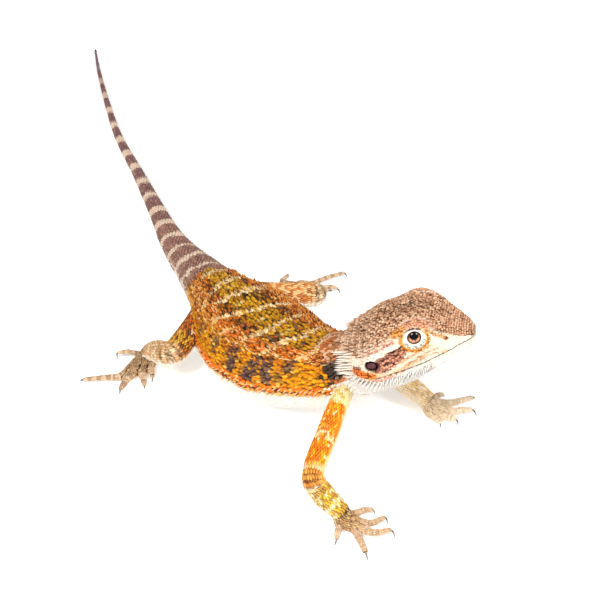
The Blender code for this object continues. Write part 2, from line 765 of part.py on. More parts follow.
def make_limbs(materials):
    for word, arm, leg, hand, foot in (
        ("right", ARM_RIGHT, LEG_RIGHT, HAND_RIGHT, FOOT_RIGHT),
        ("left", ARM_LEFT, LEG_LEFT, HAND_LEFT, FOOT_LEFT),
    ):
        for upper, lower, end, joints, upper_radii, lower_radii, digits, claw in (
            ("upper_arm", "forearm", "hand", arm, ARM_RADII, FOREARM_RADII, hand, "hand_claw"),
            ("thigh", "shank", "foot", leg, THIGH_RADII, SHANK_RADII, foot, "foot_claw"),
        ):
            first = half_limb(f"{upper}_{word}", joints[:3], upper_radii, 14, materials["limb_skin"])
            room = [torso_shape("torso_room", extra=CUT_GAP)]
            if upper == "thigh":
                room.append(body_length("tail_room", TAIL_JOIN_2, VENT, 8, TAIL_SIDES, extra=CUT_GAP))
            else:
                room.append(bent_rod("neck_room", NECK, NECK_RADII, 20, extra=CUT_GAP))
            cut(first, room)
            second = half_limb(f"{lower}_{word}", joints[2:], lower_radii, 12, materials["limb_skin"])
            cut(second, [half_limb("room", joints[:3], upper_radii, 14, extra=GAP)])
            room = half_limb("room", joints[2:], lower_radii, 12, extra=GAP)
            make_foot(end, word, joints[-1], digits, room, materials, claw)


def main():
    for obj in list(bpy.data.objects):
        bpy.data.objects.remove(obj)
    draw = random.Random(7)
    materials = make_materials()
    head, jaw = make_head(materials)
    torso, tail_base = make_trunk(materials)
    make_limbs(materials)
    grow(head, head_point, head_way, nape_and_jaw_places(), draw)
    grow(jaw, head_point, head_way, beard_places(), draw)
    grow(torso, body_point, body_way, torso_spine_places(draw), draw)
    grow(tail_base, body_point, body_way, tail_spine_places(), draw)


main()
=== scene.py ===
"""The looks of a young central bearded dragon: one skin with its scales and spines, eyes, lids and claws.

Lengths are in millimetres in the tables and functions, and become metres when a mesh is made.
+X runs forward along the trunk, +Y to the animal's left and +Z up from the floor.
A place on the body is a part, a row number t along it and an angle round it, from the back to the left.
"""

import itertools
import math

import bmesh
import bpy
import numpy as np
from mathutils import Matrix, Vector
from mathutils.bvhtree import BVHTree
from mathutils.kdtree import KDTree


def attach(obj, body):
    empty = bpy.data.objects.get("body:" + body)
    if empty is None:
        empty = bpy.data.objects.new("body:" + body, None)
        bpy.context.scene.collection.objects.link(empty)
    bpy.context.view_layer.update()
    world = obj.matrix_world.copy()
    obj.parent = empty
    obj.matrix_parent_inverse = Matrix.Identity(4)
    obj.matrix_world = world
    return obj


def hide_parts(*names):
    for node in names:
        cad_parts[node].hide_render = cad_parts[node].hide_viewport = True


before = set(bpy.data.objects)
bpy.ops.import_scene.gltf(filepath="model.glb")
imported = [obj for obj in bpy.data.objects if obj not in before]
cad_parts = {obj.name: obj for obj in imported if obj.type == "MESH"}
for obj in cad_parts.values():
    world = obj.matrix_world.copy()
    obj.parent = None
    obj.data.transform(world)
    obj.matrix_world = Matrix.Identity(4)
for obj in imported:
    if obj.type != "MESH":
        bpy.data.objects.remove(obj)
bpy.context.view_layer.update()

MM = 0.001
FLOOR = 0.0
VOXEL = 0.32
# Rings and sides of the tubes that are fused into the skin
TUBES = {"body": (360, 72), "head": (120, 72), "neck": (24, 48)}
LIMB_TUBE, TOE_TUBE = (90, 32), (40, 16)
CAP_SHARES = (0.35, 0.65, 0.85, 0.97)
# How far the skin is eased round the root, the middle joint and the last joint of a limb, and round the neck
LIMB_EASE, NECK_EASE = (9.0, 3.5, 3.2), (((40.0, 9.4, 25.5), 11.0), ((36.0, 7.0, 19.0), 9.0))
SKIN_DEPTH, TOE_DEPTH = -0.22, -0.12
DRAW = np.random.default_rng(11)

# Body line from tail tip to shoulders: x, y, z of the widest line, half width, height above that line
# and depth below it.
BODY = [
    (-187.0, 44.0, 0.55, 0.45, 0.45, 0.60),
    (-172.0, 37.7, 0.80, 0.80, 0.80, 0.95),
    (-150.0, 29.6, 1.05, 1.15, 1.10, 1.25),
    (-127.0, 22.1, 1.35, 1.50, 1.40, 1.60),
    (-102.2, 16.4, 1.85, 2.05, 1.90, 2.10),
    (-77.2, 10.2, 2.60, 3.00, 2.70, 2.85),
    (-63.2, 6.6, 3.50, 3.95, 3.40, 3.60),
    (-51.1, 4.3, 4.90, 5.15, 4.10, 4.30),
    (-39.0, 2.7, 6.80, 6.65, 5.00, 5.40),
    (-28.5, 1.2, 8.40, 8.20, 6.20, 6.40),
    (-19.0, 0.1, 9.60, 10.30, 8.00, 7.60),
    (-8.0, -0.8, 10.20, 15.00, 9.80, 10.15),
    (4.0, -1.4, 10.50, 17.60, 10.80, 11.30),
    (15.5, -0.8, 12.00, 16.60, 11.00, 11.60),
    (26.0, 2.2, 14.60, 13.60, 10.40, 10.20),
    (34.0, 6.0, 17.00, 10.60, 9.00, 8.60),
    (38.5, 9.0, 18.20, 7.20, 6.60, 6.40),
]

# Head along its own axis from the nape to the snout: x, half width, top, bottom, height of the widest line,
# and how round the crown is.
HEAD = [
    (-5.0, 5.5, 3.5, -5.0, -0.5, 1.00),
    (-3.2, 9.0, 6.2, -6.8, -1.0, 1.00),
    (0.5, 12.0, 8.2, -8.1, -1.6, 0.95),
    (4.5, 13.0, 10.6, -8.5, -1.8, 0.92),
    (9.0, 12.2, 11.8, -8.8, -1.2, 0.85),
    (13.5, 10.9, 13.0, -7.9, -0.4, 0.76),
    (17.5, 9.4, 12.7, -6.3, 0.2, 0.74),
    (21.5, 7.8, 10.7, -4.2, 0.6, 0.78),
    (25.0, 6.3, 8.9, -2.4, 1.2, 0.80),
    (27.6, 4.9, 7.3, -1.0, 1.8, 0.85),
    (29.3, 3.3, 5.9, 0.0, 2.2, 0.95),
    (30.1, 1.2, 4.2, 1.2, 2.5, 1.00),
]
HEAD_AT = (40.5, 9.5, 29.0)
HEAD_YAW, HEAD_PITCH, HEAD_ROLL = 47.8, 10.1, -6.3
# Swellings of the head: x, angle from the crown in degrees, reach along x, reach in angle, height.
HEAD_SWELLS = [
    (15.5, 48.0, 6.0, 17.0, 2.20),
    (21.5, 44.0, 4.6, 16.0, 1.45),
    (5.5, 55.0, 4.5, 20.0, 0.60),
    (3.0, 108.0, 4.5, 22.0, 0.70),
    (15.2, 75.0, 4.6, 13.0, -0.75),
    (22.5, 0.0, 4.0, 18.0, -0.35),
]
EYE_AT, EYE_RADIUS, EYE_LOOK = (14.9, 7.0, 7.3), 3.15, (0.22, 0.93, 0.28)
PUPIL_RADIUS, PUPIL_RISE, IRIS_EDGE = 1.02, 0.36, (1.50, 1.64)
CORNEA_RISE, CORNEA_SPREAD = 0.22, 30
EAR_AT, EAR_LONG, EAR_TALL, EAR_DEPTH = (3.6, 12.8, 1.4), 2.0, 1.45, 1.35
NOSTRIL_AT, NOSTRIL_DEPTH = (23.2, 6.4, 5.5), 0.95
LID_STEP, SOCKET_DEPTH = 0.55, 2.6
# The brow's crest, a furrow over the temple and a swelling along the jowl: x, reach along x, degrees from
# the crown, reach in degrees, and height.
FACE_FORMS = [(14.5, 5.5, 47, 5.0, 0.45), (8.0, 3.0, 66, 6.0, -0.30), (6.0, 3.0, 84, 7.0, 0.30)]
# The line of the mouth, from behind the jaw to the snout: x, z.
MOUTH = [(-9.0, -3.2), (0.0, -3.0), (5.0, -2.2), (9.0, -1.5), (13.0, -0.9), (18.0, 0.1), (23.5, 1.7)]
MOUTH += [(27.0, 2.8), (30.0, 3.2), (34.0, 3.4)]
MOUTH_CORNER = 4.6
NECK = [(31.0, 4.6, 16.5, 9.6), (36.5, 7.2, 20.5, 9.4), (40.0, 9.4, 25.5, 8.4), (42.5, 11.4, 30.0, 7.4)]

# Each limb: root, middle, elbow or knee, middle, wrist or ankle, as x, y, z and radius. Then its digits,
# the innermost first: x and y of the knuckle, the bend, the end and the claw's tip, then the heights of
# the bend and the end, and the radius.
LIMBS = {
    "arm_right": ([
        (43.0, 1.0, 18.5, 2.9),
        (52.0, -9.8, 16.3, 3.1),
        (61.0, -20.5, 13.7, 3.05),
        (63.8, -19.7, 8.7, 3.2),
        (68.4, -16.6, 3.9, 2.7),
    ], [
        (68.8, -12.4, 69.7, -10.3, 70.0, -8.0, 70.8, -7.6, 2.3, 1.5, 0.95),
        (72.1, -12.8, 74.6, -11.1, 74.5, -7.3, 75.8, -7.1, 2.2, 2.0, 1.0),
        (74.4, -14.1, 77.7, -12.4, 78.8, -8.6, 80.8, -8.3, 2.0, 1.8, 1.05),
        (73.4, -15.8, 77.6, -17.0, 81.5, -18.0, 83.4, -18.6, 1.9, 1.6, 1.05),
        (70.3, -18.4, 72.2, -20.2, 73.4, -21.3, 74.3, -22.7, 1.8, 1.3, 0.95),
    ]),
    "arm_left": ([
        (34.6, 13.6, 17.0, 2.9),
        (34.4, 18.8, 12.6, 3.1),
        (34.1, 23.5, 8.4, 3.05),
        (39.6, 26.0, 6.0, 3.2),
        (44.7, 28.5, 3.7, 2.7),
    ], [
        (42.9, 32.2, 43.3, 33.3, 43.1, 35.0, 42.9, 35.8, 2.2, 1.5, 0.95),
        (47.0, 34.3, 48.5, 37.0, 48.4, 41.3, 48.1, 42.9, 2.1, 1.2, 1.0),
        (50.3, 33.1, 51.8, 35.1, 52.9, 37.7, 54.8, 38.2, 2.1, 1.8, 1.05),
        (50.8, 30.1, 52.7, 30.6, 53.5, 31.6, 55.1, 31.4, 2.0, 1.7, 1.05),
        (49.6, 27.3, 51.2, 27.3, 51.8, 27.6, 52.8, 26.9, 1.6, 1.1, 0.9),
    ]),
    "leg_right": ([
        (-18.0, -5.4, 9.9, 4.4),
        (-10.8, -15.4, 10.6, 3.6),
        (-4.7, -25.2, 10.4, 3.75),
        (-11.4, -26.4, 7.2, 3.4),
        (-17.1, -26.5, 3.7, 2.3),
    ], [
        (-12.3, -28.7, -9.8, -29.6, -9.1, -29.9, -7.7, -30.9, 1.7, 1.0, 0.9),
        (-11.1, -32.0, -8.3, -33.1, -7.2, -33.6, -6.4, -34.1, 1.8, 1.1, 1.0),
        (-11.9, -36.5, -9.9, -38.7, -9.1, -40.1, -8.0, -41.1, 1.7, 1.2, 1.05),
        (-13.8, -37.6, -15.4, -41.5, -18.8, -46.7, -19.8, -47.7, 1.5, 0.8, 0.98),
        (-19.7, -28.4, -21.1, -31.1, -22.7, -33.4, -21.9, -34.1, 2.5, 2.2, 0.85),
    ]),
    "leg_left": ([
        (-18.6, 5.5, 9.8, 4.4),
        (-12.4, 14.8, 10.0, 3.6),
        (-6.5, 23.8, 9.9, 3.75),
        (-12.6, 25.0, 6.6, 3.4),
        (-18.8, 27.0, 3.7, 2.3),
    ], [
        (-15.9, 30.0, -15.0, 30.8, -14.1, 31.3, -12.9, 31.6, 1.7, 1.0, 0.95),
        (-16.3, 31.8, -15.5, 33.2, -15.8, 35.0, -15.4, 36.5, 1.7, 1.0, 1.0),
        (-17.3, 33.2, -15.3, 35.8, -14.6, 37.4, -13.0, 37.7, 2.2, 1.5, 0.8),
        (-20.6, 33.1, -19.6, 37.3, -19.9, 43.5, -18.6, 44.2, 2.4, 1.5, 0.82),
        (-26.5, 25.3, -27.2, 26.7, -28.9, 28.9, -30.1, 30.0, 1.7, 0.9, 0.75),
    ]),
}
WRIST_DROP, PALM_HEIGHT, KNUCKLE_HEIGHT, PALM_FLATTEN = 0.6, 1.5, 1.35, 0.9
# Radii along a digit: at the wrist and in the palm, then as shares of its own radius.
PALM_RADII, DIGIT_TAPER = (2.4, 2.0), (1.25, 1.0, 0.75)
CLAW_RADIUS, CLAW_ARCH, CLAW_HEIGHT = 0.42, 0.55, 0.12


# Numbers on arrays of points

def unit(vectors):
    vectors = np.asarray(vectors, float)
    return vectors / np.maximum(np.linalg.norm(vectors, axis=-1, keepdims=True), 1e-9)


def through(rows, t):
    """A smooth curve through the rows, read at each t, where row n is at t = n."""
    rows = np.asarray(rows, float)
    t = np.asarray(t, float)
    last = len(rows) - 1
    padded = np.vstack([2 * rows[0] - rows[1], rows, 2 * rows[-1] - rows[-2]])
    k = np.clip(np.floor(t).astype(int), 0, last - 1)
    f = (t - k)[..., None]
    p0, p1, p2, p3 = (padded[k + i] for i in range(4))
    bend = 2 * p0 - 5 * p1 + 4 * p2 - p3
    twist = 3 * p1 - p0 - 3 * p2 + p3
    return p1 + 0.5 * f * ((p2 - p0) + f * (bend + f * twist))


def away_from(points, place):
    return np.linalg.norm(points - np.asarray(place), axis=1)


def signed_power(value, power):
    return np.sign(value) * np.abs(value) ** power


def round_angles(count, shift=0.0):
    """Angles spread evenly round a circle, turned on by a share of one step."""
    return 2 * math.pi * (np.arange(count) + shift) / count


def smooth(value, low, high):
    """0 below low, 1 above high, and a soft step between; low may be the larger."""
    f = np.clip((value - low) / (high - low), 0.0, 1.0)
    return f * f * (3 - 2 * f)


def within(value, low, high, soft):
    return smooth(value, low - soft, low + soft) * smooth(value, high + soft, high - soft)


def bell(value, middle, wide):
    return np.exp(-(((value - middle) / wide) ** 2))


def noise(points, size, seed=0):
    """Smooth noise from 0 to 1 with lumps of the given size."""
    places = np.asarray(points, float) / size + 31.7 * seed
    cell = np.floor(places).astype(np.int64)
    f = places - cell
    f = f * f * (3 - 2 * f)
    total = np.zeros(len(places))
    for corner in itertools.product((0, 1), repeat=3):
        at = cell + np.array(corner)
        key = (at[:, 0] * 73856093) ^ (at[:, 1] * 19349663) ^ (at[:, 2] * 83492791) ^ (seed * 2654435)
        key = (key ^ (key >> 13)) * 1274126177
        value = ((key ^ (key >> 16)) & 0xFFFF) / 65535.0
        total += value * np.prod(np.where(corner, f, 1 - f), axis=1)
    return total


def mix(first, second, share):
    """Colours between first and second, by a share for each place."""
    first, second = np.asarray(first, float), np.asarray(second, float)
    return first + (second - first) * np.asarray(share, float)[..., None]


def signed_degrees(angle):
    """Degrees from -180 to 180, where 0 is the back and more is to the left."""
    return (np.degrees(angle) + 180) % 360 - 180


def along_skin(ways, normals):
    """Directions turned into the plane of the skin."""
    return unit(ways - normals * np.sum(ways * normals, axis=1)[:, None])


# Surfaces of the body's parts

def body_surface(t, angle, extra=0.0):
    row = through(BODY, t)
    step = 0.02
    along = unit(through(BODY, t + step)[:, :3] - through(BODY, t - step)[:, :3])
    left = unit(np.cross((0.0, 0.0, 1.0), along))
    up = np.cross(along, left)
    across, high = np.sin(angle), np.cos(angle)
    width = (row[:, 3] + extra) * signed_power(across, 0.92)
    height = np.where(high > 0, row[:, 4], row[:, 5]) + extra
    height = height * np.where(high > 0, signed_power(high, 0.94), signed_power(high, 0.86))
    point = row[:, :3] + left * width[:, None] + up * height[:, None]
    point[:, 2] = np.maximum(point[:, 2], FLOOR)
    return point


def head_matrix():
    turn = Matrix.Rotation(math.radians(HEAD_YAW), 3, "Z")
    nod = Matrix.Rotation(math.radians(-HEAD_PITCH), 3, "Y")
    tilt = Matrix.Rotation(math.radians(HEAD_ROLL), 3, "X")
    return np.array(turn @ nod @ tilt)


HEAD_TURN = head_matrix()


def head_to_row(points):
    return np.asarray(points, float) @ HEAD_TURN.T + np.array(HEAD_AT)


def row_to_head(points):
    return (np.asarray(points, float) - np.array(HEAD_AT)) @ HEAD_TURN


def head_local(t, angle, extra=0.0):
    x, width, top, bottom, level, roundness = through(HEAD, t).T
    across, high = np.sin(angle), np.cos(angle)
    reach = np.where(high > 0, top - level, level - bottom)
    y = (width + extra) * signed_power(across, np.where(high > 0, roundness, 0.90))
    z = level + (reach + extra) * signed_power(high, np.where(high > 0, roundness, 0.80))
    degrees = np.abs(np.degrees(np.arctan2(across, high)))
    swell = sum(
        height * np.exp(-(((x - at) / long) ** 2) - ((degrees - mid) / wide) ** 2)
        for at, mid, long, wide, height in HEAD_SWELLS
    )
    out = unit(np.stack([np.zeros_like(x), across * reach, high * width], axis=-1))
    return np.stack([x, y, z], axis=-1) + out * swell[:, None]


def head_surface(t, angle, extra=0.0):
    return head_to_row(head_local(t, angle, extra))


def rod_surface(rows, flatten=1.0):
    """A round or flattened rod through rows of x, y, z and radius."""
    rows = np.asarray(rows, float)
    last = len(rows) - 1

    def surface(t, angle, extra=0.0):
        row = through(rows, t)
        ahead = through(rows[:, :3], np.minimum(t + 0.05, last + 0.04))
        along = unit(ahead - through(rows[:, :3], np.maximum(t - 0.05, -0.04)))
        left = unit(np.cross((0.0, 0.0, 1.0), along))
        up = np.cross(along, left)
        radius = row[:, 3] + extra
        point = row[:, :3] + left * (radius * np.sin(angle))[:, None]
        point = point + up * (radius * flatten * np.cos(angle))[:, None]
        point[:, 2] = np.maximum(point[:, 2], FLOOR)
        return point

    return surface


class Part:
    """A stretch of the body: its surface, its length, and its place on the unwrap."""

    UNWRAP = 1 / 310.0

    def __init__(self, name, surface, last, corner, tall, caps=(False, False), depth=SKIN_DEPTH):
        self.name, self.surface, self.last, self.corner, self.tall = name, surface, last, corner, tall
        self.caps, self.depth = caps, depth
        self.ts = np.linspace(0.0, last, 500)
        middle = sum(surface(self.ts, np.full(500, a)) for a in np.radians((0, 90, 180, 270))) / 4
        steps = np.linalg.norm(np.diff(middle, axis=0), axis=1)
        self.far = np.concatenate([[0.0], np.cumsum(steps)])

    def t_at(self, distance):
        return np.interp(distance, self.far, self.ts)

    def distance_at(self, t):
        return np.interp(t, self.ts, self.far)

    def skin(self, t, angle):
        return self.surface(t, angle, self.depth)

    def girth(self, t):
        angles = np.linspace(0, 2 * math.pi, 25)
        ring = self.surface(np.full(25, t), angles)
        return float(np.linalg.norm(np.diff(ring, axis=0), axis=1).sum())

    def unwrap(self, t, angle):
        turned = (np.asarray(angle) / (2 * math.pi)) % 1.0
        u = self.corner[0] + self.distance_at(t) * self.UNWRAP
        v = self.corner[1] + turned * self.tall * self.UNWRAP
        return np.stack([u, v], axis=-1)

    def forward(self, t, angle):
        step = 0.003 * self.last
        return unit(self.surface(t + step, angle) - self.surface(t - step, angle))


def digit_rows(joint, digit):
    """Rows from the wrist or ankle through the palm and knuckle, over the bend, to the digit's end."""
    wrist = np.array((*joint[:2], joint[2] - WRIST_DROP))
    knuckle = np.array((*digit[:2], KNUCKLE_HEIGHT))
    palm = np.array((*((wrist + knuckle) / 2)[:2], PALM_HEIGHT))
    points = (wrist, palm, knuckle, (*digit[2:4], digit[8]), (*digit[4:6], digit[9]))
    radii = [*PALM_RADII, *(digit[10] * share for share in DIGIT_TAPER)]
    return [(*point, radius) for point, radius in zip(points, radii)]


def make_parts():
    both = (True, True)
    parts = {
        "body": Part("body", body_surface, 15.9, (0.01, 0.01), 120.0, both),
        "head": Part("head", head_surface, 11.0, (0.01, 0.42), 80.0),
        "neck": Part("neck", rod_surface(NECK), 3.0, (0.16, 0.42), 60.0, both),
    }
    for n, (name, (joints, digits)) in enumerate(LIMBS.items()):
        corner = (0.30 + 0.22 * (n % 3), 0.42 + 0.12 * (n // 3))
        parts[name] = Part(name, rod_surface(joints), 4.0, corner, 30.0, both)
        for k, digit in enumerate(digits):
            toe = f"{name}_toe_{k + 1}"
            surface = rod_surface(digit_rows(joints[-1], digit), PALM_FLATTEN)
            corner = (0.02 + 0.085 * k, 0.72 + 0.04 * n)
            parts[toe] = Part(toe, surface, 4.0, corner, 8.0, (False, True), TOE_DEPTH)
    return parts


PARTS = make_parts()


# Meshes

def new_object(name, mesh):
    obj = bpy.data.objects.new(name, mesh)
    bpy.context.scene.collection.objects.link(obj)
    return obj


def new_piece(name, mesh, material, slot, *replaced):
    """A piece of the animal that rides on its one body."""
    mesh.materials.append(material)
    obj = new_object(name, mesh)
    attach(obj, "root")
    if replaced:
        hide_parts(*replaced)
    return obj


def mesh_from(name, points, faces):
    """A smooth mesh in metres from points in millimetres and faces that all have as many corners."""
    points, faces = np.asarray(points, float), np.asarray(faces, np.int64)
    mesh = bpy.data.meshes.new(name)
    mesh.vertices.add(len(points))
    mesh.vertices.foreach_set("co", (points * MM).astype(np.float32).ravel())
    mesh.loops.add(faces.size)
    mesh.loops.foreach_set("vertex_index", faces.ravel().astype(np.int32))
    mesh.polygons.add(len(faces))
    mesh.polygons.foreach_set("loop_start", np.arange(0, faces.size, faces.shape[1], dtype=np.int32))
    mesh.update(calc_edges=True)
    mesh.validate()
    mesh.polygons.foreach_set("use_smooth", np.full(len(faces), True))
    return mesh


def srgb_to_linear(colour):
    colour = np.clip(np.asarray(colour, float) / 255.0, 0.0, 1.0)
    return np.where(colour <= 0.04045, colour / 12.92, ((colour + 0.055) / 1.055) ** 2.4)


def set_colours(mesh, colours):
    """Stores colours, markings and painted shade, given as 0 to 255 screen values, one for each point."""
    layer = mesh.color_attributes.new("markings_and_shade", "FLOAT_COLOR", "POINT")
    full = np.ones((len(colours), 4), np.float32)
    full[:, :3] = srgb_to_linear(colours)
    layer.data.foreach_set("color", full.ravel())


def painted_piece(name, points, faces, colours, material, slot, *replaced):
    mesh = mesh_from(name, points, faces)
    set_colours(mesh, colours)
    new_piece(name, mesh, material, slot, *replaced)
    return mesh


def vectors_of(mesh, kind):
    """The points' places or normals: kind is co or normal."""
    found = np.empty(len(mesh.vertices) * 3, np.float32)
    mesh.vertices.foreach_get(kind, found)
    return found.reshape(-1, 3).astype(float)


def points_of(mesh):
    return vectors_of(mesh, "co") / MM


def set_points(mesh, points):
    mesh.vertices.foreach_set("co", (points * MM).astype(np.float32).ravel())
    mesh.update()


def ring_faces(rings, sides):
    """Quads between rings of points."""
    i, j = np.meshgrid(np.arange(rings - 1) * sides, np.arange(sides), indexing="ij")
    k = (j + 1) % sides
    return np.stack([i + j, i + k, i + sides + k, i + sides + j], axis=-1).reshape(-1, 4)


def tube(part, rings, sides):
    """The part as a closed tube of quads, with rounded or flat ends."""
    angles = round_angles(sides)
    grid = [part.skin(np.full(sides, t), angles) for t in np.linspace(0.0, part.last, rings)]
    for end, wanted in ((0, part.caps[0]), (-1, part.caps[1])):
        ring = grid[end]
        centre = ring.mean(axis=0)
        inner = grid[1 if end == 0 else -2].mean(axis=0)
        radius = np.linalg.norm(ring - centre, axis=1).mean()
        along = unit(centre - inner)
        for share in CAP_SHARES if wanted else ():
            made = centre + (ring - centre) * math.sqrt(1 - share**2) + along * radius * share
            made[:, 2] = np.maximum(made[:, 2], FLOOR)
            if end == 0:
                grid.insert(0, made)
            else:
                grid.append(made)
    caps = []
    for base, flip in ((0, True), ((len(grid) - 1) * sides, False)):
        for n in range(sides // 2 - 1):
            quad = (base + n, base + n + 1, base + sides - 2 - n, base + sides - 1 - n)
            caps.append(quad[::-1] if flip else quad)
    return np.vstack(grid), np.vstack([ring_faces(len(grid), sides), np.array(caps)])


def edges_of(mesh):
    found = np.empty(len(mesh.edges) * 2, np.int32)
    mesh.edges.foreach_get("vertices", found)
    return found.reshape(-1, 2)


def relax(points, edges, weight, rounds):
    """Moves each point towards the mean of its neighbours, by its weight."""
    count = np.maximum(np.bincount(edges.ravel(), minlength=len(points)), 1)
    points = points.copy()
    for _ in range(rounds):
        total = np.zeros_like(points)
        for a, b in ((0, 1), (1, 0)):
            for axis in range(3):
                total[:, axis] += np.bincount(edges[:, a], points[edges[:, b], axis], minlength=len(points))
        points += (total / count[:, None] - points) * weight[:, None]
    return points


def fuse(points, faces):
    """One closed mesh round overlapping closed meshes."""
    rough = new_object("skin_rough", mesh_from("skin_rough", points, faces))
    remesh = rough.modifiers.new("fuse", "REMESH")
    remesh.mode = "VOXEL"
    remesh.voxel_size = VOXEL * MM
    graph = bpy.context.evaluated_depsgraph_get()
    mesh = bpy.data.meshes.new_from_object(rough.evaluated_get(graph))
    bpy.data.objects.remove(rough)
    mesh.name = "skin"
    return mesh


def make_skin_mesh():
    """All parts as one closed skin: their tubes are fused, and eased where they join."""
    points, faces, offset = [], [], 0
    for name, part in PARTS.items():
        made, quads = tube(part, *TUBES.get(name, TOE_TUBE if "toe" in name else LIMB_TUBE))
        points.append(made)
        faces.append(quads + offset)
        offset += len(made)
    mesh = fuse(np.vstack(points), np.vstack(faces))
    points, edges = points_of(mesh), edges_of(mesh)
    points = relax(points, edges, np.full(len(points), 0.5), 2)

    def eased(at, reach):
        return smooth(away_from(points, at), reach * 1.4, reach * 0.7) * 0.6

    behind = smooth(row_to_head(points)[:, 0], 4.0, -1.0)
    weights = [eased(at, reach) * behind for at, reach in NECK_EASE]
    for joints, _ in LIMBS.values():
        weights += [eased(joint[:3], reach) for joint, reach in zip(joints[::2], LIMB_EASE)]
    points = relax(points, edges, np.max(weights, axis=0), 30)
    points[:, 2] = np.maximum(points[:, 2], FLOOR + 0.02)
    set_points(mesh, points)
    refine_head(mesh)
    return mesh


def refine_head(mesh):
    """Halves the faces of the head, for the finer forms of the face."""
    shape = bmesh.new()
    shape.from_mesh(mesh)
    local = row_to_head(points_of(mesh))
    inside = (local[:, 0] > 0.0) & (np.abs(local[:, 1]) < 16) & (np.abs(local[:, 2]) < 16)
    shape.verts.ensure_lookup_table()
    edges = [e for e in shape.edges if inside[e.verts[0].index] and inside[e.verts[1].index]]
    bmesh.ops.subdivide_edges(shape, edges=edges, cuts=1, use_grid_fill=True)
    shape.to_mesh(mesh)
    shape.free()
    mesh.polygons.foreach_set("use_smooth", np.full(len(mesh.polygons), True))
    points = points_of(mesh)
    local = row_to_head(points)
    head = smooth(local[:, 0], -2.0, 1.0) * (np.abs(local[:, 1]) < 17) * (np.abs(local[:, 2]) < 17)
    set_points(mesh, relax(points, edges_of(mesh), 0.5 * head, 2))


def mirrored(point, side):
    return np.array((point[0], point[1] * side, point[2]))


def mouth_level(x):
    line = np.array(MOUTH)
    t = np.interp(x, line[:, 0], np.arange(len(line)))
    return through(line, t)[..., 1]


class Eye:
    """The axes of one eye and the outline of its lids, seen along the way it looks."""

    OPENING = (1.76, 1.70)
    LIDS = (3.55, 3.15)
    LIDS_AT = (0.0, -0.95)

    def __init__(self, side):
        self.side = side
        self.word = "left" if side > 0 else "right"
        self.centre = head_to_row(mirrored(EYE_AT, side))
        self.look = HEAD_TURN @ unit(mirrored(EYE_LOOK, side))
        up = HEAD_TURN @ np.array((0.0, 0.0, 1.0))
        self.up = unit(up - self.look * (up @ self.look))
        forward = HEAD_TURN @ np.array((1.0, 0.0, 0.0))
        self.forward = unit(forward - self.look * (forward @ self.look) - self.up * (forward @ self.up))

    def flat(self, points):
        """Forward, up and out coordinates of points."""
        off = points - self.centre
        return off @ self.forward, off @ self.up, off @ self.look

    def place(self, forward, up, out):
        forward, up, out = (np.asarray(v, float)[..., None] for v in (forward, up, out))
        return self.centre + forward * self.forward + up * self.up + out * self.look

    def lid_share(self, points):
        """How far out points lie on the lids' outline, where 1 is its edge."""
        forward, up, out = self.flat(points)
        share = np.hypot((forward - self.LIDS_AT[0]) / self.LIDS[0], (up - self.LIDS_AT[1]) / self.LIDS[1])
        return np.where(out > 0, share, 9.0)


EYES = [Eye(1), Eye(-1)]


def ear_axes(side):
    out = HEAD_TURN @ unit((-0.25, side * 0.95, 0.12))
    long = HEAD_TURN @ unit((1.0, side * 0.25, 0.15))
    long = unit(long - out * (long @ out))
    return long, np.cross(out, long), out


def ear_share(points, side):
    long, tall, _ = ear_axes(side)
    off = points - head_to_row(mirrored(EAR_AT, side))
    share = np.hypot(off @ long / EAR_LONG, off @ tall / EAR_TALL)
    return np.where(np.linalg.norm(off, axis=1) < 4, share, 9.0)


def sculpt_head(mesh):
    """Lips and mouth, the crease behind the mouth's corner, brow crests, nostrils, ear openings and sockets
    under the lids.
    """
    points, normals = points_of(mesh), vectors_of(mesh, "normal")
    local = row_to_head(points)
    x, y, z = local.T
    on_head = (x > -4) & (np.abs(y) < 17) & (np.abs(z) < 17)
    above = z - mouth_level(x)
    mouth = smooth(x, MOUTH_CORNER - 0.8, MOUTH_CORNER + 1.2)
    lips = 0.22 * bell(above, 0.62, 0.42) + 0.14 * bell(above, -0.6, 0.4)
    push = mouth * (lips - 0.34 * bell(above, 0.0, 0.18))
    # The crease that runs on behind the corner of the mouth
    crease = smooth(x, -1.5, 1.0) * smooth(x, MOUTH_CORNER + 1.0, MOUTH_CORNER - 1.0)
    push += crease * -0.35 * bell(above, -0.9, 0.6)
    degrees = np.degrees(np.arctan2(np.abs(y), z + 0.5))
    for at, long, mid, wide, height in FACE_FORMS:
        push += height * bell(x, at, long) * bell(degrees, mid, wide)
    push += 0.22 * (noise(points, 3.2, 3) - 0.5) + 0.12 * (noise(points, 1.3, 4) - 0.5)
    points = points + normals * (push * on_head)[:, None]
    for side in (1, -1):
        near = away_from(local, mirrored(NOSTRIL_AT, side))
        depth = -NOSTRIL_DEPTH * smooth(near, 0.80, 0.30) + 0.25 * bell(near, 1.0, 0.35)
        points = points + normals * (depth * on_head)[:, None]
        share = ear_share(points, side)
        depth = EAR_DEPTH * smooth(share, 1.08, 0.78) - 0.16 * bell(share, 1.22, 0.2)
        points = points - ear_axes(side)[2] * (depth * on_head)[:, None]
    for eye in EYES:
        share = eye.lid_share(points)
        forward, up, _ = eye.flat(points)
        depth = LID_STEP * smooth(share, 1.0, 0.86) + SOCKET_DEPTH * smooth(np.hypot(forward, up), 3.1, 2.2)
        points = points - eye.look * np.where(share < 1.2, depth, 0.0)[:, None]
    set_points(mesh, points)


# Places on the skin

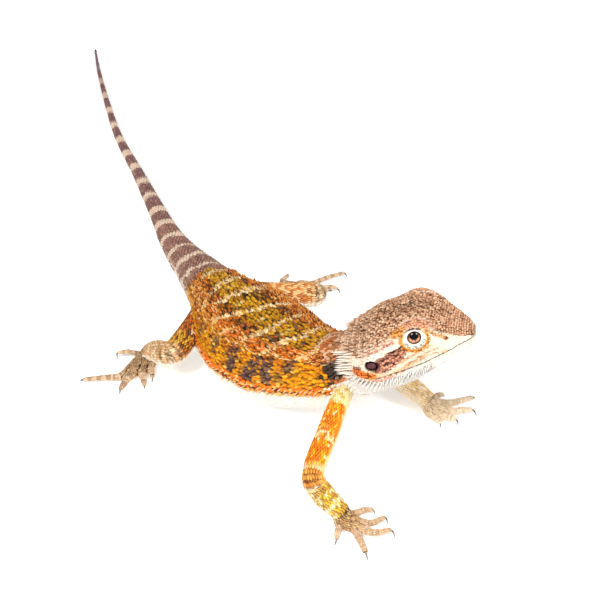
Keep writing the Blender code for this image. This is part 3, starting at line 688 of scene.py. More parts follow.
class Skin:
    """Finds the nearest place on the finished skin."""

    def __init__(self, mesh):
        self.points, self.normals = points_of(mesh), vectors_of(mesh, "normal")
        polygons = [tuple(p.vertices) for p in mesh.polygons]
        self.first = np.array([p[0] for p in polygons])
        self.third = np.array([p[2] for p in polygons])
        self.tree = BVHTree.FromPolygons([Vector(p) for p in self.points], polygons)

    def settle(self, roots):
        """The nearest points of the skin, their normals, and how far off they were."""
        found = [self.tree.find_nearest(Vector(p)) for p in roots]
        places = np.array([f[0] for f in found])
        index = np.array([f[2] for f in found])
        away = np.array([f[3] for f in found])
        normals = unit(self.normals[self.first[index]] + self.normals[self.third[index]])
        return places, normals, away


def tree_of(points):
    tree = KDTree(len(points))
    for i, point in enumerate(points):
        tree.insert(point, i)
    tree.balance()
    return tree


RING_STEP, SIDE_STEP = 0.5, 0.55


def locate(points):
    """For each point the nearest part's name, t and angle."""
    names, ts, angles, places = [], [], [], []
    for name, part in PARTS.items():
        rings = int(part.far[-1] / RING_STEP) + 2
        sides = int(max(part.girth(t) for t in np.linspace(0, part.last, 9)) / SIDE_STEP) + 4
        t, a = np.meshgrid(np.linspace(0, part.last, rings), round_angles(sides))
        t, a = t.ravel(), a.ravel()
        places.append(part.skin(t, a))
        names += [name] * len(t)
        ts.append(t)
        angles.append(a)
    tree = tree_of(np.vstack(places))
    index = np.array([tree.find(p)[1] for p in points])
    return np.array(names)[index], np.concatenate(ts)[index], np.concatenate(angles)[index]


# Markings and painted shade: colours as 0 to 255 screen values

CREAM, WHITE, BELLY = (250, 222, 176), (252, 248, 242), (242, 243, 247)
OLIVE, OLIVE_DARK, OLIVE_LIGHT = (202, 142, 20), (148, 90, 14), (232, 172, 40)
GOLD, BRIGHT_GOLD, YELLOW = (222, 138, 16), (252, 152, 2), (254, 182, 16)
ORANGE, RUST, BROWN, DARK, VIOLET = (240, 112, 12), (212, 90, 14), (146, 72, 16), (66, 34, 20), (112, 80, 82)
TAIL_DARK, TAIL_FAR, TAIL_PALE, TAIL_TIP = (150, 102, 86), (122, 82, 82), (232, 204, 178), (110, 86, 104)
CROWN, CROWN_PALE, CROWN_DARK = (216, 156, 112), (244, 204, 166), (160, 104, 70)
# The last of these is near-black painted shadow for the fold behind the jaw
FACE, STRIPE, FOLD_SHADOW = (253, 240, 217), (112, 48, 32), (34, 20, 12)

# Pale bars over the back: t on the spine, and how far they move in t by 30 degrees down the right
# and the left side.
BARS = [
    (9.4, 0.10, 0.05), (10.25, 0.28, -0.08), (11.02, 0.05, -0.02), (11.95, -0.32, 0.12),
    (13.0, -0.16, 0.02), (13.97, -0.55, 0.22), (14.82, -0.30, 0.18),
]
# Violet bars down the flanks: t at the top and the bottom, the degrees between them, and their strength.
FLANK_BARS = [
    (11.3, 11.4, 46, 72, 0.55), (12.05, 12.15, 46, 70, 0.75), (12.68, 12.82, 40, 84, 1.0),
    (13.36, 13.16, 34, 80, 1.0), (13.52, 13.62, 34, 86, 1.0), (14.22, 14.06, 30, 56, 1.0),
    (13.95, 13.9, 60, 78, 0.5),
]
# Rust lobes with pale rims at the ends of the bars: t, degrees, reach in t and in degrees.
LOBES = [
    (9.85, 44, 0.26, 10), (10.5, 42, 0.28, 10), (11.15, 40, 0.28, 10), (11.8, 38, 0.27, 10),
    (12.42, 35, 0.29, 9), (13.12, 33, 0.35, 9), (13.95, 31, 0.38, 9), (14.88, 31, 0.42, 9),
]
# Dark patches at the corners of the olive fields: t, degrees towards the left, reach in t and in degrees.
SPOTS = [
    (9.9, -22, 0.13, 6), (9.8, 24, 0.15, 7), (10.75, -22, 0.14, 6), (10.5, 22, 0.16, 7),
    (11.2, 12, 0.10, 6), (11.6, 14, 0.12, 6), (11.5, -21, 0.12, 6), (12.0, 27, 0.22, 7),
    (12.45, 18, 0.17, 7), (12.4, -18, 0.15, 5), (12.4, -31, 0.14, 4), (13.4, -15, 0.14, 5),
    (13.55, 8, 0.10, 5), (13.35, 26, 0.20, 8), (13.95, 28, 0.34, 9), (14.22, -14, 0.14, 6),
    (14.8, -8, 0.14, 6), (14.75, 20, 0.26, 8),
]
# Short pale dashes in the olive fields: t, degrees.
DASHES = [(10.62, -3), (11.42, -8), (12.45, -5), (13.42, -4)]
# Dark bands of the tail: x of the first, the step to the next, and how the steps grow.
TAIL_BAND_START, TAIL_BAND_STEP, TAIL_BAND_GROWTH = -36.9, 8.7, 0.055

# Speckled colours: the colour, then rows of flecks with the specks from and to, their colour and strength.
SPECKLED = {
    "field": (OLIVE, (0, 0.28, OLIVE_DARK, 0.6), (0.78, 1, OLIVE_LIGHT, 0.8)),
    "edge": (
        (172, 80, 14), (0, 0.42, DARK, 0.9), (0.54, 0.8, (226, 100, 14), 0.9),
        (0.88, 1, (250, 196, 116), 0.9),
    ),
    "spot": (DARK, (0.5, 0.72, VIOLET, 0.9), (0.80, 1, RUST, 0.8)),
    "lobe": (RUST, (0, 0.25, BROWN, 0.9), (0.6, 0.8, ORANGE, 0.7), (0.92, 1, (250, 222, 170), 0.9)),
    "hip": (RUST, (0, 0.4, DARK, 0.7), (0.55, 0.8, GOLD, 0.9), (0.85, 1, CREAM, 0.9)),
    "flank bar": (VIOLET, (0, 0.5, (70, 46, 52), 0.85)),
    "fringe": ((255, 122, 10), (0, 0.3, (236, 88, 6), 0.8), (0.84, 1, (255, 200, 110), 0.9)),
    "nape": ((206, 104, 36), (0, 0.4, BROWN, 0.8), (0.75, 1, (250, 196, 124), 0.8)),
    "crown": (CROWN, (0, 0.34, CROWN_DARK, 0.75), (0.66, 1, CROWN_PALE, 0.75)),
    "cheek": ((212, 130, 98), (0, 0.3, (150, 76, 56), 0.6), (0.7, 1, (232, 172, 142), 0.7)),
    "jaw": (WHITE, (0, 0.3, (242, 230, 218), 0.8)),
    "upper arm": (
        (248, 112, 6), (0, 0.3, (236, 80, 4), 0.85), (0.6, 0.82, (252, 176, 10), 0.9),
        (0.93, 1, (252, 238, 214), 0.9),
    ),
    "forearm": (
        (206, 146, 56), (0, 0.27, (156, 98, 46), 0.85), (0.5, 0.76, (244, 196, 56), 0.9),
        (0.84, 1, (252, 240, 220), 0.9),
    ),
    "elbow": ((238, 140, 56), (0, 0.3, (214, 106, 40), 0.8), (0.7, 1, (250, 186, 96), 0.8)),
    "shoulder": ((246, 228, 196), (0, 0.22, (214, 160, 70), 0.7)),
    "thigh": (
        (164, 72, 12), (0, 0.42, (88, 38, 12), 0.9), (0.5, 0.7, RUST, 0.7),
        (0.82, 0.92, (220, 156, 44), 0.8), (0.95, 1, (236, 212, 180), 0.8),
    ),
    "left thigh": ((236, 140, 58), (0, 0.28, (190, 104, 50), 0.7), (0.55, 1, (252, 220, 170), 0.85)),
    "knee": (
        (222, 178, 126), (0, 0.25, (190, 140, 92), 0.7), (0.45, 0.72, (246, 226, 190), 0.8),
        (0.78, 0.92, (236, 166, 116), 0.8),
    ),
    "hand": ((178, 122, 64), (0, 0.3, (140, 92, 52), 0.75), (0.7, 1, (226, 186, 126), 0.7)),
    "foot": ((172, 130, 88), (0, 0.3, (140, 92, 52), 0.75), (0.7, 1, (226, 186, 126), 0.7)),
}


def blob(t, degrees, t0, degrees0, long, wide, soft=0.35):
    """1 inside an ellipse, fading over its edge."""
    far = np.hypot((t - t0) / long, (degrees - degrees0) / wide)
    return smooth(far, 1 + soft, 1 - soft)


def stripe(t, degrees, path, wide, soft=0.15):
    """A stripe of a half width in degrees that follows a path of t and degrees."""
    path = np.array(path, float)
    level = np.interp(t, path[:, 0], path[:, 1])
    return bell(degrees, level, wide) * within(t, path[0, 0], path[-1, 0], soft)


def flecks(colour, speck, *rows):
    """Scatters other colours over one: each row is the specks from and to, the colour and its strength."""
    for low, high, fleck, strength in rows:
        colour = mix(colour, fleck, ((speck >= low) & (speck < high)) * strength)
    return colour


def speckled(name, speck):
    colour, *rows = SPECKLED[name]
    return flecks(colour, speck, *rows)


def tail_band(x):
    """Which dark band of the tail x lies on, where whole numbers are the middles of the bands."""
    behind = np.maximum(TAIL_BAND_START - x, -20.0)
    root = np.sqrt(TAIL_BAND_STEP**2 + 4 * TAIL_BAND_GROWTH * behind)
    return (root - TAIL_BAND_STEP) / (2 * TAIL_BAND_GROWTH)


def paint_tail(t, side, points, speck):
    x = through(BODY, t)[:, 0]
    base = smooth(t, 5.5, 7.8)
    wave = (noise(points, 2.4, 7) - 0.5) * (0.8 + 2.2 * base)
    band = tail_band(x + wave)
    off = np.abs(band - np.round(band))
    pale = smooth(off, 0.27 + 0.07 * base, 0.36 + 0.07 * base)
    dark = mix(TAIL_DARK, TAIL_FAR, smooth(t, 6.6, 4.0))
    dark = flecks(dark, speck, (0.0, 0.3, (104, 64, 58), 0.6), (0.85, 1.0, (190, 142, 116), 0.5))
    light = mix(TAIL_PALE, (184, 150, 138), smooth(t, 2.6, 0.6))
    colour = mix(dark, light, pale)
    colour = mix(colour, TAIL_TIP, smooth(t, 1.2, 0.7) * 0.8)
    colour = mix(colour, (240, 218, 198), smooth(side, 92, 122) * smooth(t, 1.0, 4.0) * 0.8)
    return mix(colour, (250, 236, 218), smooth(side, 58, 92) * smooth(t, 6.2, 7.6) * (speck > 0.25) * 0.85)


def paint_field(t, degrees, points, speck):
    """The back between the flanks: olive fields, pale bars, dark patches and rust lobes."""
    side = np.abs(degrees)
    wobble = noise(points, 2.0, 1) - 0.5
    fine = noise(points, 0.9, 14) - 0.5
    colour = mix(speckled("field", speck), speckled("edge", speck), smooth(side + 14 * wobble, 15, 21))
    bars = [at + np.where(degrees < 0, right, left) * side / 30 for at, right, left in BARS]
    nearest = np.abs(t + 0.22 * fine - np.array(bars)).min(axis=0)
    beside = bell(nearest, 0.16, 0.06) * smooth(side, 36, 26)
    colour = mix(colour, (140, 78, 20), beside * (speck < 0.7) * 0.7)
    for at, mid, long, wide in SPOTS:
        spot = blob(t + 0.5 * fine, degrees + 12 * wobble, at, mid, long, wide)
        colour = mix(colour, speckled("spot", speck), spot)
    for at, mid, long, wide in LOBES:
        far = np.hypot((t + 0.3 * fine - at) / long, (side + 5 * wobble - mid) / wide)
        colour = mix(colour, speckled("lobe", speck), smooth(far, 1.12, 0.9))
        rim = bell(far, 1.04, 0.14) * smooth(side, mid - 1.3 * wide, mid - 0.2 * wide)
        colour = mix(colour, (254, 212, 148), rim)
    colour = mix(colour, CREAM, smooth(nearest, 0.085, 0.045) * smooth(side, 36, 29))
    for at, mid in DASHES:
        colour = mix(colour, (226, 196, 132), blob(t, degrees, at, mid, 0.055, 6, 0.4) * 0.9)
    return colour


def paint_flank(t, side, points, speck):
    """Gold with yellow, orange and brown flecks, violet bars, an orange fringe and the white belly."""
    wobble = noise(points, 2.0, 1) - 0.5
    front = smooth(t + 0.8 * wobble, 13.6, 14.5)
    colour = mix(mix(GOLD, (214, 142, 62), smooth(t, 12.2, 10.6) * 0.6), BRIGHT_GOLD, front)
    lively = 1 - 0.6 * front
    colour = mix(colour, YELLOW, ((speck > 0.72) & (speck < 0.9)) * 0.8)
    colour = mix(colour, (246, 214, 140), (speck >= 0.93) * 0.7 * lively)
    colour = mix(colour, RUST, ((speck > 0.46) & (speck < 0.6)) * 0.6 * lively)
    colour = mix(colour, BROWN, (speck < 0.16) * 0.65 * lively)
    hip = smooth(t, 12.0, 10.6) * smooth(side + 14 * wobble, 76, 60)
    colour = mix(colour, speckled("hip", speck), hip * 0.8)
    for top, bottom, low, high, strength in FLANK_BARS:
        middle = np.interp(side, (low, high), (top, bottom))
        shown = within(t + 0.15 * wobble, middle - 0.115, middle + 0.115, 0.035)
        shown = shown * within(side + 11 * wobble, low, high, 3) * strength
        colour = mix(colour, speckled("flank bar", speck), shown * (speck < 0.89))
    colour = mix(colour, (158, 96, 16), blob(t, side, 14.9, 68, 0.35, 22, 0.5) * (speck < 0.4) * 0.5)
    fringe = within(side + 4 * wobble, 80, 92, 2.0) * smooth(t, 10.0, 11.2)
    colour = mix(colour, speckled("fringe", speck), fringe)
    return mix(colour, BELLY, smooth(side + 6 * wobble, 90, 96))


def paint_body(t, degrees, points, speck):
    side = np.abs(degrees)
    wobble = noise(points, 2.2, 9) - 0.5
    flank = paint_flank(t, side, points, speck)
    colour = mix(flank, paint_field(t, degrees, points, speck), smooth(side + 8 * wobble, 44, 38))
    # The rusty nape, and painted shadow in the fold behind the jaw
    nape = smooth(t + 0.4 * wobble, 15.25, 15.6) * smooth(side, 60, 40)
    colour = mix(colour, speckled("nape", speck), nape)
    fold_shadow = within(t + 0.6 * wobble, 15.2, 15.62, 0.05) * within(side + 14 * wobble, 52, 80, 4)
    colour = mix(colour, FOLD_SHADOW, fold_shadow)
    colour = mix(colour, WHITE, smooth(t, 15.3, 15.6) * smooth(side, 80, 92))
    return mix(paint_tail(t, side, points, speck), colour, smooth(t + 0.6 * wobble, 9.0, 9.3))


# Where the brown of the crown ends and the pale face begins: t, degrees.
CROWN_EDGE = [
    (0, 70), (1, 66), (2, 62), (3, 56), (4, 49), (4.6, 37),
    (5.5, 32), (6.3, 39), (7, 52), (8, 58), (9, 62), (11, 66),
]
# Stripes of the face: colour, half width in degrees, strength, and the path in t and degrees.
FACE_STRIPES = [
    ((252, 236, 218), 2.6, 0.95, [(0.8, 78), (2.0, 70), (3.0, 64.5), (4.3, 60)]),
    ((214, 116, 92), 1.5, 0.85, [(2.2, 61), (3.2, 59.5), (4.3, 56)]),
    ((240, 176, 150), 1.5, 0.8, [(2.4, 57), (3.4, 55), (4.4, 52)]),
    ((254, 232, 214), 1.3, 0.95, [(4.6, 37), (5.0, 33), (5.6, 31.5), (6.2, 33.5), (6.6, 39)]),
    ((214, 112, 88), 1.3, 0.85, [(4.6, 41), (5.0, 36.5), (5.6, 34.5), (6.2, 37), (6.6, 42)]),
    ((246, 190, 128), 1.3, 0.85, [(4.6, 44), (5.0, 39.5), (5.6, 37.5), (6.3, 40.5)]),
    ((222, 122, 92), 1.2, 0.85, [(4.7, 47), (5.0, 42.5), (5.6, 40.5), (6.4, 44)]),
    ((248, 146, 74), 3.0, 0.9, [(6.1, 46), (6.5, 52), (7.0, 58), (7.6, 61)]),
    ((240, 146, 82), 1.3, 0.7, [(3.6, 84), (4.6, 83.5), (5.6, 81), (6.6, 75)]),
    ((236, 140, 84), 1.1, 0.65, [(4.6, 88.5), (5.8, 85), (7.0, 79)]),
    ((242, 156, 96), 1.1, 0.6, [(3.2, 90), (4.4, 89.5), (5.6, 88), (7.4, 84)]),
    ((224, 130, 104), 1.1, 0.75, [(2.0, 98), (3.0, 96), (4.0, 93.5), (4.8, 92)]),
]


def paint_crown(t, side, wobble, speck):
    """Darker rows between the eyes, a warmer snout, and a paler nape and temple."""
    crown = speckled("crown", speck)
    rows = smooth(np.sin(np.radians(side) * 9 + 3 * wobble), 0.2, 0.9)
    crown = mix(crown, CROWN_DARK, 0.45 * rows * smooth(t, 8.0, 6.5))
    crown = mix(crown, (222, 156, 116), smooth(t, 6.0, 8.0) * 0.4)
    crown = mix(crown, CROWN_PALE, smooth(t, 3.6, 1.0) * (speck > 0.45) * 0.6)
    return mix(crown, CROWN_PALE, within(side, 42, 60, 5) * smooth(t, 4.6, 3.6) * (speck > 0.4) * 0.5)


def paint_cheek(colour, t, side, wobble, speck):
    """The cheek's brown triangle, dark along its upper edge."""
    low = np.interp(t, (2.7, 3.4, 4.0, 4.6, 5.0), (80, 87, 86, 81, 74))
    high = np.interp(t, (3.0, 4.0, 5.0), (71, 67, 63))
    moved = side + 3 * wobble
    shown = smooth(moved, low + 1.5, low - 1.5) * smooth(moved, high - 1.5, high + 1.5)
    patch = mix(speckled("cheek", speck), STRIPE, bell(side, high + 1.5, 3.0) * 0.9)
    return mix(colour, patch, shown * within(t, 2.9, 5.0, 0.12))


def paint_round_ear(colour, t, side, wobble, speck):
    """A brown streak behind the ear and orange below it, speckled farther back."""
    streak = stripe(t, side + 5 * wobble, [(0.6, 86), (1.4, 83), (2.0, 80)], 2.4)
    colour = mix(colour, (150, 74, 50), streak * 0.9)
    orange = blob(t, side, 1.2, 90, 1.0, 7.0, 0.4) * (0.5 + 0.5 * (speck < 0.6))
    colour = mix(colour, (246, 136, 66), orange)
    return mix(colour, (255, 112, 12), blob(t, side, 2.1, 88.0, 1.0, 5.2, 0.4))


def paint_round_lids(colour, points):
    """The orange outline of the lids, heavier below and at both ends."""
    for eye in EYES:
        forward, up, _ = eye.flat(points)
        heavy = np.clip(smooth(up, 0.4, -1.4) + smooth(np.abs(forward), 2.2, 3.2), 0, 1)
        colour = mix(colour, (242, 146, 40), bell(eye.lid_share(points), 1.06, 0.09) * heavy * 0.95)
    return colour


def paint_jaw(colour, t, side, points, speck):
    """The line of the mouth, the white lower jaw, and painted shade on the skin under the beard."""
    x, _, z = row_to_head(points).T
    above = z - mouth_level(x)
    # The mouth's line: pink at its corner, and grey farther forward as painted shade under the lip
    mouth = bell(above, 0.0, 0.20) * smooth(x, MOUTH_CORNER - 1, MOUTH_CORNER + 0.5)
    colour = mix(colour, mix((206, 132, 112), (164, 150, 142), smooth(x, 9, 16)), mouth * 0.85)
    colour = mix(colour, speckled("jaw", speck), smooth(above, -1.0, -1.8) * smooth(t, 2.0, 3.4))
    # Painted shade under the beard: the skin where the spines hang is greyed
    return mix(colour, (188, 176, 164), smooth(side, 96, 101) * within(t, 0.8, 6.4, 0.4))


def paint_head(t, side, points, speck):
    wobble = noise(points, 1.6, 2) - 0.5
    face = mix(FACE, (248, 228, 206), noise(points, 2.6, 5) * 0.7)
    edge = np.interp(t, *np.transpose(CROWN_EDGE)) + 5 * wobble
    colour = mix(face, paint_crown(t, side, wobble, speck), smooth(side, edge + 2.5, edge - 2.5))
    # The pink crest over the eye and the orange corner behind it
    colour = mix(colour, (236, 172, 134), blob(t, side, 5.6, 41, 1.15, 9.0, 0.3))
    colour = mix(colour, (250, 154, 58), blob(t, side, 4.55, 47, 0.42, 6.0, 0.4))
    for stroke, wide, strength, path in FACE_STRIPES:
        colour = mix(colour, stroke, stripe(t, side + 2.0 * wobble, path, wide) * strength)
    colour = paint_cheek(colour, t, side, wobble, speck)
    colour = paint_round_ear(colour, t, side, wobble, speck)
    colour = paint_round_lids(colour, points)
    colour = paint_jaw(colour, t, side, points, speck)
    # The paler end of the snout
    return mix(colour, (236, 206, 178), smooth(t, 10.2, 10.8) * smooth(side, 70, 50) * 0.6)


def paint_neck(t, side, speck):
    colour = mix((206, 98, 26), CROWN, smooth(t, 1.2, 2.4))
    dark = mix(BROWN, CROWN_DARK, smooth(t, 0.9, 2.2))
    colour = flecks(colour, speck, (0, 0.3, dark, 0.7), (0.62, 1, CROWN_PALE, 0.75))
    # Painted shadow in the fold behind the jaw
    colour = mix(colour, FOLD_SHADOW, within(side, 52, 82, 6) * within(t, 0.2, 1.9, 0.3))
    return mix(colour, WHITE, smooth(side, 88, 98))


def paint_arm(t, degrees, points, speck, outward):
    wobble = noise(points, 1.6, 6) - 0.5
    colour = speckled("upper arm", speck)
    colour = mix(colour, (253, 240, 218), bell(t + 0.35 * wobble, 1.14, 0.09) * (speck > 0.35) * 0.9)
    lower = mix(speckled("forearm", speck), speckled("elbow", speck), smooth(t, 2.4, 2.3))
    colour = mix(colour, lower, smooth(t, 1.86, 1.94))
    for at in (1.88, 2.4, 3.55):
        colour = mix(colour, (253, 242, 224), bell(t + 0.10 * wobble, at, 0.055) * 0.85)
    colour = mix(colour, speckled("shoulder", speck), smooth(t + 0.25 * wobble, 0.5, 0.32))
    inner = np.clip(smooth(outward + 14 * wobble, 56, 84) + smooth(np.abs(degrees), 112, 140), 0, 1)
    return mix(colour, (251, 240, 224), inner * smooth(t, 4.4, 3.6))


def paint_leg(t, degrees, points, speck, left):
    wobble = noise(points, 1.8, 6) - 0.5
    yellow = blob(t, degrees, 1.62, 0, 0.28, 60, 0.4) * (speck > 0.4)
    thigh = mix(speckled("thigh", speck), (220, 166, 26), yellow * 0.8)
    if left:
        thigh = mix(thigh, speckled("left thigh", speck), smooth(t, 0.4, 0.9) * 0.9)
    colour = mix(thigh, speckled("knee", speck), smooth(t + 0.3 * wobble, 1.72, 2.0))
    colour = mix(colour, (166, 128, 88), smooth(t, 3.2, 3.8) * 0.8)
    return mix(colour, (252, 242, 228), smooth(np.abs(degrees), 84, 112))


def paint_toe(name, t, degrees, points, speck):
    arm = name.startswith("arm")
    wobble = noise(points, 1.2, 15) - 0.5
    palm = speckled("hand" if arm else "foot", speck)
    if not arm:
        palm = mix(palm, (112, 80, 54), smooth(np.abs(wobble), 0.10, 0.02) * 0.6)
    digit = mix((226, 188, 154), (212, 168, 122), 0.6 * (speck > 0.5))
    # The digits' darker bands, stronger on the feet
    pace, band, strength = (2.6, (186, 142, 104), 0.55) if arm else (2.2, (146, 106, 82), 0.7)
    off = np.abs(((t * pace + 0.2) % 1.0) - 0.5) * 2
    digit = mix(digit, band, smooth(off, 0.50, 0.35) * strength)
    colour = mix(palm, digit, smooth(t, 1.7, 2.2))
    if name.startswith("arm_left"):
        colour = mix(colour, (240, 224, 198), 0.6)
    return mix(colour, (248, 232, 214), smooth(np.abs(degrees), 96, 124) * 0.8)


def paint(name, t, angle, points, speck):
    """The colour of places on one part. speck runs from 0 to 1 and differs from scale to scale."""
    degrees = signed_degrees(angle)
    if name == "body":
        return paint_body(t, degrees, points, speck)
    if name == "head":
        return paint_head(t, np.abs(degrees), points, speck)
    if name == "neck":
        return paint_neck(t, np.abs(degrees), speck)
    if "toe" in name:
        return paint_toe(name, t, degrees, points, speck)
    left = name.endswith("left")
    if name.startswith("leg"):
        return paint_leg(t, degrees, points, speck, left)
    colour = paint_arm(t, degrees, points, speck, -degrees if left else degrees)
    return mix(colour, (242, 222, 188), 0.65 * smooth(t, 1.8, 2.2)) if left else colour


# Scales and spines

# Corners of a scale: along, across, height. The rim comes first, then its sunk copy, then the keel.
SCALE_RIM = [
    (-0.5, 0, -0.1), (-0.22, 0.42, 0.05), (0.22, 0.44, 0.15),
    (0.62, 0, 0.55), (0.22, -0.44, 0.15), (-0.22, -0.42, 0.05),
]
SCALE_KEEL = [(-0.2, 0.0, 0.45), (0.25, 0.0, 1.0)]
RIM_SINK = 0.9
# How light the corners of the rim and of the keel are in the painted shade; this also sets where a tip's
# colour begins
RIM_SHADE, KEEL_SHADE = (0.35, 0.45, 0.6, 0.95, 0.6, 0.45), (0.8, 1.0)
# Corners of a bead, which is rounder and has no raised tip.
BEAD_RIM = [
    (-0.48, 0, 0.1), (-0.24, 0.42, 0.1), (0.24, 0.42, 0.1),
    (0.48, 0, 0.15), (0.24, -0.42, 0.1), (-0.24, -0.42, 0.1),
]
BEAD_KEEL = [(-0.14, 0.0, 0.95), (0.2, 0.0, 1.0)]
SPINE_SIDES, SPINE_RINGS = 5, ((0.0, 1.0), (0.3, 0.78), (0.65, 0.42), (1.0, 0.02))
SPINE_CURVE = 0.16
# Where a tip's colour begins and is full, on the way from a sunk rim or root to a keel or point
TIP_SPAN = {"scale": (0.5, 0.95), "bead": (0.5, 0.95), "spine": (0.15, 1.0)}


def scale_template(rim, keel):
    """Corners, triangles and how light each corner is in the painted shade, from its sunk rim to its keel."""
    sunk = [(u, v, w - RIM_SINK) for u, v, w in rim]
    n = len(rim)
    a, b = 2 * n, 2 * n + 1
    faces = [(0, 1, a), (1, 2, b), (1, b, a), (2, 3, b), (3, 4, b), (4, 5, a), (4, a, b), (5, 0, a)]
    for i in range(n):
        k = (i + 1) % n
        faces += [(i, n + i, n + k), (i, n + k, k)]
    shade = np.array([*RIM_SHADE, *[0.0] * n, *KEEL_SHADE])
    return np.array(rim + sunk + keel, float), np.array(faces)[:, ::-1], shade


def spine_template():
    corners, shade = [], []
    for share, wide in SPINE_RINGS:
        for a in round_angles(SPINE_SIDES):
            corners.append((share, wide * math.cos(a), wide * math.sin(a)))
            shade.append(share)
    faces = []
    for p, q, r, s in ring_faces(len(SPINE_RINGS), SPINE_SIDES):
        faces += [(p, q, r), (p, r, s)]
    return np.array(corners), np.array(faces), np.array(shade)


TEMPLATES = {
    "scale": scale_template(SCALE_RIM, SCALE_KEEL),
    "bead": scale_template(BEAD_RIM, BEAD_KEEL),
    "spine": spine_template(),
}


# How near to the line of the mouth and to a nostril nothing grows, and how far past the edge of an ear
MOUTH_GAP, NOSTRIL_GAP, EAR_GAP = 0.2, 0.75, 1.05


def rows_of(part, start, end, pitch_along, pitch_around):
    """t and angle of places in staggered rings; each pitch is a table of t and millimetres."""
    ts, angles = [], []
    distance, stop = part.distance_at(start), part.distance_at(end)
    while distance < stop:
        t = float(part.t_at(distance))
        count = max(int(round(part.girth(t) / np.interp(t, *pitch_around))), 5)
        angles.append(round_angles(count, 0.5 * (len(ts) % 2)))
        ts.append(np.full(count, t))
        distance += np.interp(t, *pitch_along)
    return np.concatenate(ts), np.concatenate(angles)


def even(pitch):
    return (0.0,), (pitch,)


def both_sides(t, degrees):
    """t and angle of places at the given degrees to the left, then to the right."""
    t, degrees = np.broadcast_arrays(t, degrees)
    return np.concatenate([t, t]), np.radians(np.concatenate([degrees, -degrees]))


def open_skin(places):
    """Marks the places that lie on no lid, ear, nostril or mouth line."""
    local = row_to_head(places)
    x, y, z = local.T
    on_head = (x > MOUTH_CORNER) & (np.abs(y) < 14) & (z > -12)
    free = ~(on_head & (np.abs(z - mouth_level(x)) < MOUTH_GAP))
    for eye in EYES:
        free &= eye.lid_share(places) > 1.0
    for side in (1, -1):
        free &= ear_share(places, side) > EAR_GAP
        free &= away_from(local, mirrored(NOSTRIL_AT, side)) > NOSTRIL_GAP
    return free


